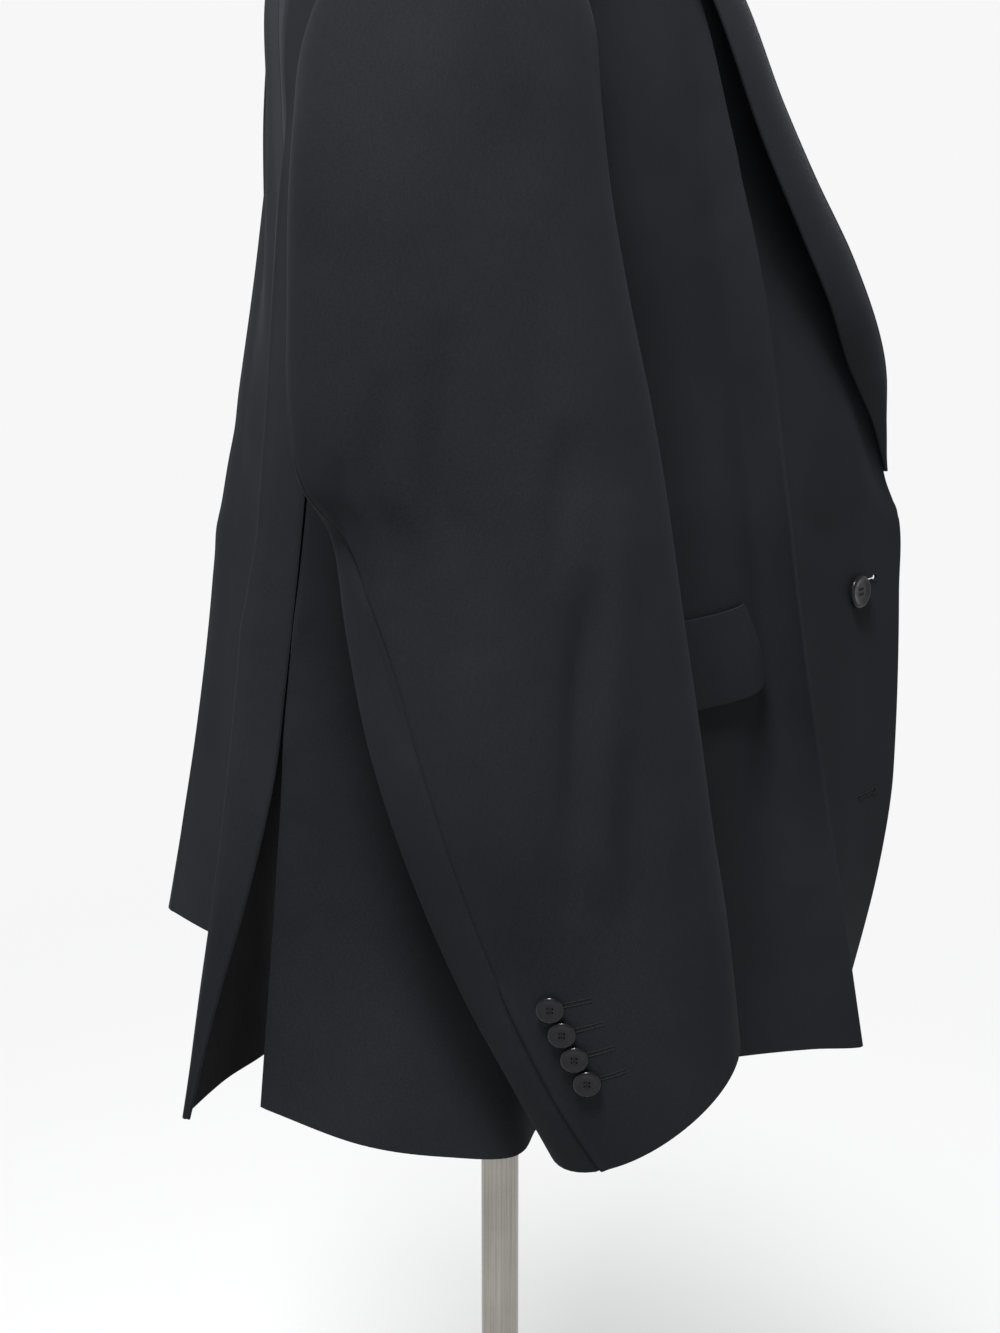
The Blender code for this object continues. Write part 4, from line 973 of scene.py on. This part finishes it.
def add_lapel(body, side, wool):
    outer = Strip((LAPEL_COLUMNS, LAPEL_SECTIONS[side]))
    shares = fine_steps(0.0, LAPEL_SPAN, LAPEL_GRID)[1:] / LAPEL_SPAN
    steps = fine_steps(0.0, LAPEL_TIP - LAPEL_START, GRID_STEP) / (LAPEL_TIP - LAPEL_START)
    grid = []
    for i, share in enumerate((*np.zeros(ROLL_POINTS), *shares)):
        top = GORGE_AT_ROLL + (LAPEL_TIP - GORGE_AT_ROLL) * share
        levels = LAPEL_START + (top - LAPEL_START) * steps
        grid.append(lapel_rows(body, outer, side, levels, shares)[i])
    grid = np.array(grid)
    run = np.cumsum(np.linalg.norm(np.diff(grid, axis=0), axis=2).mean(axis=1)) / MM
    turns = np.concatenate(([0.0], run))[:, None]
    cut = np.stack(np.broadcast_arrays(-turns, (steps * LAPEL_FLAT)[None]), axis=-1)
    add_cloth("lapel", side, grid, cut, LAPEL_CLOTH, [wool])


def collar_section(row):
    """Points across the collar: up the stand, over the rounded fold and down the leaf."""
    points = dict(zip(COLLAR_COLUMNS, np.array(row, float)))
    seam, fold, leaf = points["seam"], points["fold"], points["leaf"]
    away = unit(leaf - seam)
    inner, outer = fold - away * COLLAR_ROLL, fold + away * COLLAR_ROLL
    drop = ((seam + leaf) / 2 - fold) * ROLL_DROP
    inner, outer = inner + drop, outer + drop
    leaf_points = [outer + (leaf - outer) * share for share in LEAF_STEPS]
    return np.array((seam, (seam + inner) / 2, inner, fold, outer, *leaf_points, leaf))


def add_collar(wool):
    half = [collar_section(row) for row in COLLAR_SECTIONS]
    mirrored = [section * (-1, 1, 1) for section in half[:0:-1]]
    whole = np.array(mirrored + half)
    count = len(half)
    spans = np.linalg.norm(np.diff(np.array(half), axis=1), axis=2).mean(axis=0)
    knots = np.concatenate(([0.0], np.cumsum(spans)))
    along = Curve(range(1 - count, count), whole.reshape(len(whole), -1))
    stations = np.linspace(1 - count, count - 1, COLLAR_STATIONS)
    sections = along(stations).reshape(len(stations), -1, 3)
    across = fine_steps(0.0, knots[-1], COLLAR_GRID)
    row = np.repeat(np.arange(len(stations)), len(across))
    grid = Curve(knots, sections)(np.tile(across, len(stations)), row)
    grid = world(LEFT, grid).reshape(len(stations), len(across), 3)
    run = (stations * COLLAR_SPACING)[:, None]
    cut = np.stack(np.broadcast_arrays(run, across[None]), axis=-1)
    add_cloth("collar", "", grid, cut, COLLAR_CLOTH, [wool])


def add_flap(body, side, wool):
    """Pocket flap laid on the front, its top edge turned into the pocket's mouth."""
    first = body.turn("pocket") - FLAP_FRONT
    across = fine_steps(0.0, FLAP_WIDTH, FLAP_GRID)
    down = fine_steps(0.0, FLAP_DROP, FLAP_GRID) / FLAP_DROP
    edge = np.minimum(across, FLAP_WIDTH - across)
    short = np.clip(1 - edge / FLAP_CORNER, 0, 1)
    drop = FLAP_DROP - FLAP_CORNER * (1 - np.sqrt(1 - short ** 2))
    share = across / FLAP_WIDTH
    levels = (FLAP_LEVEL - FLAP_SLOPE * across)[:, None] - drop[:, None] * down
    turns = (first + across)[:, None] - FLAP_LEAN * (1 - share)[:, None] * down
    lift = FLAP_LIFT + FLAP_SWING * down + FLAP_BELLY * np.sin(pi * down) * np.ones(levels.shape)
    grid = body.place(turns, levels, lift)
    cut = np.stack((turns, levels), axis=-1)
    add_cloth("pocket_flap", side, grid, cut, FLAP_CLOTH, [wool])


# ---- sleeves

def armhole_loop(front, back):
    """Points round the armhole's edge, front seam up, over the shoulder and down the back."""
    corner = ARMHOLE_SHAPE[0][1]
    up = np.linspace(corner, SHOULDER_LEVEL, ARMHOLE_UPRIGHT)
    low = front.strip.level_line(ARMHOLE_SHAPE)
    turns = np.linspace(front.turn("aft_seam"), front.turn("fore_seam"),
                        ARMHOLE_UNDER)[1:-1]
    return np.concatenate((
        front.strip.points(front.turn("fore_seam"), up),
        back.strip.points(back.turn("vent"), up[::-1]),
        front.strip.points(turns, low(turns))))


def armhole_places(loop, turns, beyond, round_it):
    """Points outside the armhole's edge at each angle: so far aside, and so far all round."""
    centre_y, centre_up = ARMHOLE_CENTRE
    angles = np.degrees(np.arctan2(loop[:, 2] - centre_up, centre_y - loop[:, 1]))
    order = np.argsort(angles)
    angles = np.concatenate([angles[order] + shift for shift in (-360, 0, 360)])
    loop = np.concatenate([loop[order]] * 3)
    wrapped = (turns + 180) % 360 - 180
    aside, y, up = (np.interp(wrapped, angles, loop[:, k]) for k in range(3))
    out = round_it / np.hypot(y - centre_y, up - centre_up)
    return np.stack((aside + beyond, y + (y - centre_y) * out, up + (up - centre_up) * out), 1)


def ring_places(ring, turns):
    """Points (aside, y, up) of a sleeve ring; 0 is its front edge and 90 its outer side."""
    row = dict(zip(SLEEVE_COLUMNS, ring))
    fore_point = np.array((row["out"], *row["fore"]), float)
    aft_point = np.array((row["out"], *row["aft"]), float)
    centre = (fore_point + aft_point) / 2
    swing, lift = np.cos(np.radians(turns))[:, None], np.sin(np.radians(turns))[:, None]
    bulge = [np.array((row[far][0], centre[1], row[far][1])) - centre
             for far in ("crest", "pit")]
    return centre + (fore_point - centre) * swing + np.where(lift > 0, *bulge) * abs(lift)


class Sleeve:
    """Surface of one sleeve: ring counts up from the cuff, turn goes round each ring."""

    def __init__(self, front, back, side):
        self.side = side
        self.turns = np.arange(*SLEEVE_TURNS)
        scale = np.array((SLEEVE_TURN_SIZE, SLEEVE_RING_SIZE))
        self.creases = [(*(scale * row[:2]), *(scale * row[2:4]), *row[4:])
                        for row in SLEEVE_CREASES[side]]
        columns = [ring_places(ring, self.turns) for ring in SLEEVE_RINGS]
        for k, column in enumerate(columns):
            column[:, 1] += SLEEVE_LEAN[side] * (1 - k / LEAN_TOP_RING) ** LEAN_POWER
        loop = armhole_loop(front, back)
        most, middle, reach = HEAD_FULLNESS
        fuller = most * np.clip(1 - ((self.turns - middle) / reach) ** 2, 0, None)
        for k, (beyond, round_it) in enumerate(HEAD_STEPS + (HEAD_TUCK,)):
            columns.append(armhole_places(loop, self.turns, beyond,
                                          round_it + (fuller if k == 0 else 0)))
        self.table = np.array(columns)
        self.through = Curve(range(len(columns)), self.table.reshape(len(columns), -1))
        self.top = len(columns) - 1
        self.aft_turn = Curve([row[0] for row in AFT_SEAM_TURN],
                              [[row[1]] for row in AFT_SEAM_TURN])

    def bare(self, ring, turn):
        ring, turn = np.broadcast_arrays(np.asarray(ring, float), np.asarray(turn, float))
        turn = np.where(turn > self.turns[-1], turn - 360, turn)
        found, row = np.unique(ring, return_inverse=True)
        at_ring = self.through(found).reshape(len(found), -1, 3)
        flat = Curve(self.turns, at_ring)(turn.ravel(), row.ravel())
        return world(self.side, flat.reshape(ring.shape + (3,)))

    def normal(self, ring, turn):
        along = self.bare(ring + RING_STEP, turn) - self.bare(ring - RING_STEP, turn)
        across = self.bare(ring, turn + NORMAL_STEP) - self.bare(ring, turn - NORMAL_STEP)
        return unit(np.cross(across, along)) * OUTWARD[self.side]

    def place(self, ring, turn, lift=0.0):
        """World points, lifted outwards by a number of millimetres."""
        ring, turn = np.broadcast_arrays(np.asarray(ring, float), np.asarray(turn, float))
        height = lift + crease_height(self.creases, turn * SLEEVE_TURN_SIZE,
                                      ring * SLEEVE_RING_SIZE)
        return self.bare(ring, turn) + self.normal(ring, turn) * (height * MM)[..., None]

    def aft_seam(self, ring):
        return self.aft_turn(ring)[..., 0]

    def degrees_for(self, ring, turn, gap):
        """Degrees of a ring that span a gap in millimetres."""
        step = self.bare(ring, turn + NORMAL_STEP) - self.bare(ring, turn)
        return gap * MM * NORMAL_STEP / np.linalg.norm(step, axis=-1)


def add_sleeve(sleeve, cloths):
    rings = fine_steps(0.0, SLEEVE_LENGTH, GRID_STEP) / SLEEVE_LENGTH * sleeve.top
    aft = sleeve.aft_seam(rings)
    fore = np.full(len(rings), float(FORE_SEAM_TURN))
    vent = np.clip((CUFF_VENT_RINGS - rings) / VENT_FADE, 0, 1)
    aft_gap = sleeve.degrees_for(rings, aft, SEAM_JOIN - vent * VENT_UNDER)
    fore_gap = sleeve.degrees_for(rings, fore, SEAM_JOIN)
    spans = {"upper": (fore + fore_gap, aft - sleeve.degrees_for(rings, aft, SEAM_JOIN)),
             "under": (aft + aft_gap, 360 + fore - fore_gap)}
    for name, (low, high) in spans.items():
        width = SLEEVE_WIDTHS[name]
        steps = fine_steps(0.0, width, GRID_STEP)
        turns = low + (high - low) * (steps / width)[:, None]
        ring_grid = np.broadcast_to(rings, turns.shape)
        lift = (seam_dip(steps) + seam_dip(width - steps))[:, None] * np.ones(turns.shape)
        lift = lift * SLEEVE_SEAM_DEPTH
        if name == "under":
            inside = np.clip((aft + VENT_HIDDEN - turns) / VENT_SINKS, 0, 1)
            lift = lift - VENT_DEPTH * inside * vent
        else:
            edge = np.clip(1 - (width - steps) / VENT_LIP, 0, 1)[:, None]
            lift = lift + (VENT_RISE + SEAM_DIP * SLEEVE_SEAM_DEPTH) * edge * vent
        grid = sleeve.place(ring_grid, turns, lift)
        cut = np.stack((turns * SLEEVE_TURN_SIZE, ring_grid * SLEEVE_RING_SIZE), axis=-1)
        middle = len(turns) // 2, len(rings) // 2
        outward = sleeve.normal(ring_grid[middle], turns[middle])
        add_cloth("sleeve_" + name, sleeve.side, grid, cut, CLOTH, cloths,
                  outward)


# ---- buttons and buttonholes

def button_mesh(size, seat, axis):
    """A turned button with a raised rim and a dish, on its seat."""
    diameter, thick, rim, dish = (value * MM for value in size)
    radius, edge = diameter / 2, thick * BUTTON_EDGE
    profile = ((radius - edge * BACK_INSET, 0.0), (radius, edge), (radius, thick - edge),
               (radius - rim * RIM_TOP, thick), (radius - rim, thick - dish * RIM_DROP),
               (radius - rim * RIM_FOOT, thick - dish), (DISH_CENTRE * MM, thick - dish))
    return lathe(rounded(profile, BUTTON_ROUND), seat, axis, BUTTON_SIDES)


def cut_with(made, points, faces, sharp):
    """Cut holes of the given form in a piece, in place."""
    cutter = plain_object("cutter", points, faces)
    modifier = made.modifiers.new("cut", "BOOLEAN")
    modifier.operation = "DIFFERENCE"
    modifier.solver = "EXACT"
    modifier.object = cutter
    depsgraph = bpy.context.evaluated_depsgraph_get()
    result = bpy.data.meshes.new_from_object(made.evaluated_get(depsgraph))
    made.modifiers.clear()
    made.data = result
    bpy.data.objects.remove(cutter, do_unlink=True)
    smooth(made, sharp)


def add_button(node_name, size, seat, axis, resin, thread):
    """A button with its four holes, and the thread through them."""
    u, v, axis = lathe_frame(axis)
    made = make_object(node_name + "_turned", *button_mesh(size, seat, axis), [resin],
                       SHARP_TURNED)
    thick, dish = size[1] * MM, size[3] * MM
    scale = size[0] / FRONT_BUTTON[0] * MM
    corners = [(u * a + v * b) * HOLE_SPREAD * scale for a, b in HOLE_CORNERS]
    holes = [lathe(((HOLE_RADIUS * scale, -MM), (HOLE_RADIUS * scale, thick + MM)),
                   seat + corner, axis, HOLE_SIDES) for corner in corners]
    cut_with(made, *joined(holes), SHARP_TURNED)
    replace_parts(made, node_name)
    top = thick - dish + THREAD_RADIUS * scale
    path = ((0.0, THREAD_DEPTH * MM), (THREAD_BEND, top + THREAD_SINK * MM),
            (0.5, top + THREAD_RISE * MM), (1 - THREAD_BEND, top + THREAD_SINK * MM),
            (1.0, THREAD_DEPTH * MM))
    strands = []
    for a, b in THREAD_PAIRS:
        for shift in (-THREAD_SHIFT, THREAD_SHIFT):
            start, end = corners[a] + v * shift * scale, corners[b] + v * shift * scale
            places = [seat + start + (end - start) * t + axis * height for t, height in path]
            strands.append(tube(places, THREAD_RADIUS * scale))
    make_object("thread_" + node_name, *joined(strands), [thread], SHARP_THREAD)


def add_front_buttons(fronts, resin, thread):
    """The upper button lies on the right front, the lower on the left front, under it."""
    for name, side in (("upper", RIGHT), ("lower", LEFT)):
        body = fronts[side]
        turn, level = body.turn("turn"), BUTTON_LEVELS[name]
        axis = body.normal(turn, level)
        seat = body.bare(turn, level) + axis * (CAD_CLOTH / 2 + BUTTON_LIFT)
        add_button("front_button_" + name, FRONT_BUTTON, seat, axis, resin, thread)


def sleeve_button_rings(sleeve):
    """Ring of each cuff button, by its distance from the cuff's edge along the seam."""
    rings = np.arange(*CUFF_SEARCH)
    line = sleeve.bare(rings, sleeve.aft_seam(rings))
    length = np.concatenate(([0.0], np.cumsum(np.linalg.norm(np.diff(line, axis=0), axis=1))))
    heights = SLEEVE_BUTTON_FIRST + SLEEVE_BUTTON_STEP * np.arange(SLEEVE_BUTTON_COUNT)
    return np.interp(heights * MM, length, rings)


def add_sleeve_buttons(sleeve, resin, thread):
    for k, ring in enumerate(sleeve_button_rings(sleeve), 1):
        seam = sleeve.aft_seam(ring)
        turn = seam - sleeve.degrees_for(ring, seam, SLEEVE_BUTTON_INSET)
        axis = sleeve.normal(ring, turn)
        seat = sleeve.bare(ring, turn) + axis * (CAD_CLOTH / 2 + BUTTON_LIFT)
        name = "sleeve_button_{}_{}".format(sleeve.side, k)
        add_button(name, SLEEVE_BUTTON, seat, axis, resin, thread)
        inset = SLEEVE_BUTTON_INSET + np.linspace(*SHAM_SPAN, SHAM_POINTS)
        turns = seam - sleeve.degrees_for(ring, seam, inset)
        marks = [tube(sleeve.place(ring + offset / SLEEVE_RING_SIZE, turns,
                                   CLOTH / MM / 2 + SHAM_LIFT), SHAM_THREAD * MM)
                 for offset in (-SHAM_HALF, SHAM_HALF)]
        make_object("buttonhole_{}_{}".format(sleeve.side, k), *joined(marks), [thread],
                    SHARP_THREAD)


def round_end(turn, level, radius):
    """Points (turn, level) round a buttonhole's end, towards the front edge."""
    return np.stack((turn + radius * np.cos(EYE_ANGLES), level + radius * np.sin(EYE_ANGLES)),
                    axis=1)


def keyhole(turn, level):
    """Outline of a buttonhole's opening."""
    tail = turn + EYELET * SLIT_START
    slit = np.array(((tail, level - SLIT_HALF), (tail, level + SLIT_HALF)))
    return np.concatenate((round_end(turn, level, EYELET), slit))


def add_buttonholes(body, shell, thread):
    """Two buttonholes in the right front: the upper one is cut through and holds its button."""
    for name, (turn, level) in BUTTONHOLES.items():
        if name == "upper":
            outline = keyhole(turn, level)
            points = [body.place(*outline.T, lift) for lift in (CUT_DEPTH, -CUT_DEPTH)]
            cut_with(shell, np.concatenate(points), stacked(len(outline), 2), SHARP_CLOTH)
        far = np.linspace(turn + EYELET, turn + BUTTONHOLE_LENGTH, BUTTONHOLE_POINTS)
        upper, lower = (np.stack((far, np.full(len(far), level + aside)), axis=1)
                        for aside in (BUTTONHOLE_HALF, -BUTTONHOLE_HALF))
        eye = round_end(turn, level, EYELET + EYELET_BORDER)
        path = body.place(*np.concatenate((upper[::-1], eye, lower)).T,
                          CLOTH / MM / 2 + BUTTONHOLE_LIFT)
        make_object("buttonhole_" + name, *tube(path, BUTTONHOLE_THREAD * MM, closed=True),
                    [thread], SHARP_THREAD)


# ---- dress form and stand

def add_form(linen):
    """Padded torso covered in linen, with its panels' seams."""
    ups = [row[0] for row in FORM_SECTIONS]
    through = Curve(ups, [row[1:] for row in FORM_SECTIONS])
    levels = np.concatenate((ups[0] + np.arange(0, FORM_CLOSE, FORM_CLOSE_STEP),
                             np.arange(ups[0] + FORM_START, ups[-1], FORM_STEP), [ups[-1]]))
    angles = np.arange(FORM_SIDES) * 2 * pi / FORM_SIDES
    c, s = (np.sign(turn) * abs(turn) ** (2 / FORM_SQUARENESS)
            for turn in (np.cos(angles), np.sin(angles)))
    rings = []
    dips = sum(np.exp(-((np.degrees(angles) - at + 180) % 360 - 180) ** 2 / FORM_SEAM_SOFT)
               for at in FORM_SEAMS)
    for level, (half, front, back) in zip(levels, through(levels)):
        centre, depth = (front + back) / 2, (back - front) / 2
        pull = 1 - dips * FORM_SEAM_DIP / half
        rings.append(np.stack((half * c * pull, centre + depth * s * pull,
                               np.full(FORM_SIDES, level)), axis=1))
    made = make_object("form_torso_pad", world(LEFT, np.concatenate(rings)),
                       stacked(FORM_SIDES, len(rings)), [linen], SHARP_FORM)
    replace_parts(made, "form_torso")


def add_stand(steel, paint, wood):
    """Neck cap, base, pole and hub, turned from profiles of (radius, height)."""
    torso_bottom, neck_top = (HEM_HEIGHT + FORM_SECTIONS[k][0] * MM for k in (0, -1))
    bottom, inner, foot = BASE_THICK + SEAM_GAP, POLE_RADIUS + SEAM_GAP, np.zeros(3)
    cap = [(CAP_RADIUS * MM * wide, max(CAP_HEIGHT * MM * high, SEAM_GAP))
           for wide, high in CAP_PROFILE]
    base = ((BASE_RADIUS - BASE_EDGE / 2, 0.0), (BASE_RADIUS, BASE_EDGE / 2),
            (BASE_RADIUS, BASE_THICK - BASE_EDGE), (BASE_RADIUS - BASE_EDGE, BASE_THICK),
            (BASE_MIDDLE, BASE_THICK))
    pole = ((POLE_RADIUS, bottom), (POLE_RADIUS, torso_bottom - SEAM_GAP))
    hub = ((HUB_RADIUS, bottom), (HUB_RADIUS, bottom + HUB_HEIGHT * HUB_SHOULDER),
           (inner + HUB_TOP, bottom + HUB_HEIGHT), (inner, bottom + HUB_HEIGHT))
    for name, profile, centre, material in (
            ("form_cap", cap, np.array((0.0, CAP_BACK, neck_top)), wood),
            ("stand_base", base, foot, paint), ("stand_pole", pole, foot, steel),
            ("stand_hub", hub, foot, steel)):
        turned = lathe(rounded(profile, TURNED_ROUND[name]), centre, UP, STAND_SIDES)
        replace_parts(make_object(name + "_turned", *turned, [material], SHARP_TURNED), name)


# ---- floor, lights and camera

def add_floor():
    """A plain pale floor that fades into the backdrop's tone."""
    profile = ((FLOOR_RADIUS, -FLOOR_THICK), (FLOOR_RADIUS, 0.0))
    floor = plain_object("floor", *lathe(profile, np.zeros(3), UP, STAND_SIDES))
    made, tree, shader = new_material("pale_floor", FLOOR_SOCKETS)
    place = node(tree, "TexCoord").outputs["Object"]
    far = node(tree, "VectorMath", {0: place}, operation="LENGTH").outputs["Value"]
    glow = node(tree, "Emission", {"Color": (*BACKDROP, 1), "Strength": 1.0})
    mix = node(tree, "MixShader", {0: remap(tree, far, *FLOOR_FADE),
                                   1: shader.outputs["BSDF"], 2: glow.outputs["Emission"]})
    tree.links.new(mix.outputs["Shader"], tree.nodes["Material Output"].inputs["Surface"])
    floor.data.materials.append(made)


def add_light(name, place, target, size, power):
    data = bpy.data.lights.new(name, "AREA")
    data.shape = "RECTANGLE"
    data.size, data.size_y = size
    data.energy = power
    lamp = bpy.data.objects.new(name, data)
    lamp.location = place
    aim = Vector(target) - Vector(place)
    lamp.rotation_euler = aim.to_track_quat("-Z", "Y").to_euler()
    bpy.context.scene.collection.objects.link(lamp)


def add_studio():
    world_settings = bpy.data.worlds.new("studio")
    world_settings.use_nodes = True
    tree = world_settings.node_tree
    backdrop = tree.nodes["Background"]
    backdrop.inputs["Strength"].default_value = 1.0
    direction = node(tree, "TexCoord").outputs["Generated"]
    height = node(tree, "SeparateXYZ", {"Vector": direction}).outputs["Z"]
    ceiling = remap(tree, height, *CEILING_SPAN, 0.0, 1.0)
    tree.links.new(colour_between(tree, ceiling, BACKDROP, CEILING), backdrop.inputs["Color"])
    bpy.context.scene.world = world_settings
    for row in LIGHTS:
        add_light(**dict(zip(LIGHT_COLUMNS, row)))


def add_camera():
    data = bpy.data.cameras.new("camera")
    data.lens = CAMERA_LENS
    data.sensor_width = SENSOR_WIDTH
    data.clip_start, data.clip_end = CAMERA_CLIP
    camera = bpy.data.objects.new("camera", data)
    right, up = Vector(CAMERA_RIGHT).normalized(), Vector(CAMERA_UP).normalized()
    back = right.cross(up)
    turn = Matrix((right, up, back)).transposed().to_4x4()
    camera.matrix_world = Matrix.Translation(CAMERA_PLACE) @ turn
    bpy.context.scene.collection.objects.link(camera)
    bpy.context.scene.camera = camera


# ---- the whole scene

bpy.context.scene.view_settings.view_transform = "Standard"

looks = {name: finish_material(name, **finish) for name, finish in FINISHES.items()}
wool, thread, resin = looks["worsted_wool"], looks["black_thread"], looks["button_resin"]
cloths = [wool, looks["black_lining"]]
add_studio()
add_camera()
add_floor()
add_form(looks["form_linen"])
add_stand(looks["drawn_steel"], looks["powder_paint"], looks["turned_wood"])
fronts = {side: front_body(side) for side in (RIGHT, LEFT)}
for side, front in fronts.items():
    back = back_body(side)
    shell = add_front(front, side, cloths)
    add_side_panel(front, side, cloths)
    add_back(back, side, cloths)
    add_lapel(front, side, wool)
    add_flap(front, side, wool)
    sleeve = Sleeve(front, back, side)
    add_sleeve(sleeve, cloths)
    add_sleeve_buttons(sleeve, resin, thread)
    if side == RIGHT:
        add_buttonholes(front, shell, thread)
add_front_buttons(fronts, resin, thread)
add_collar(wool)
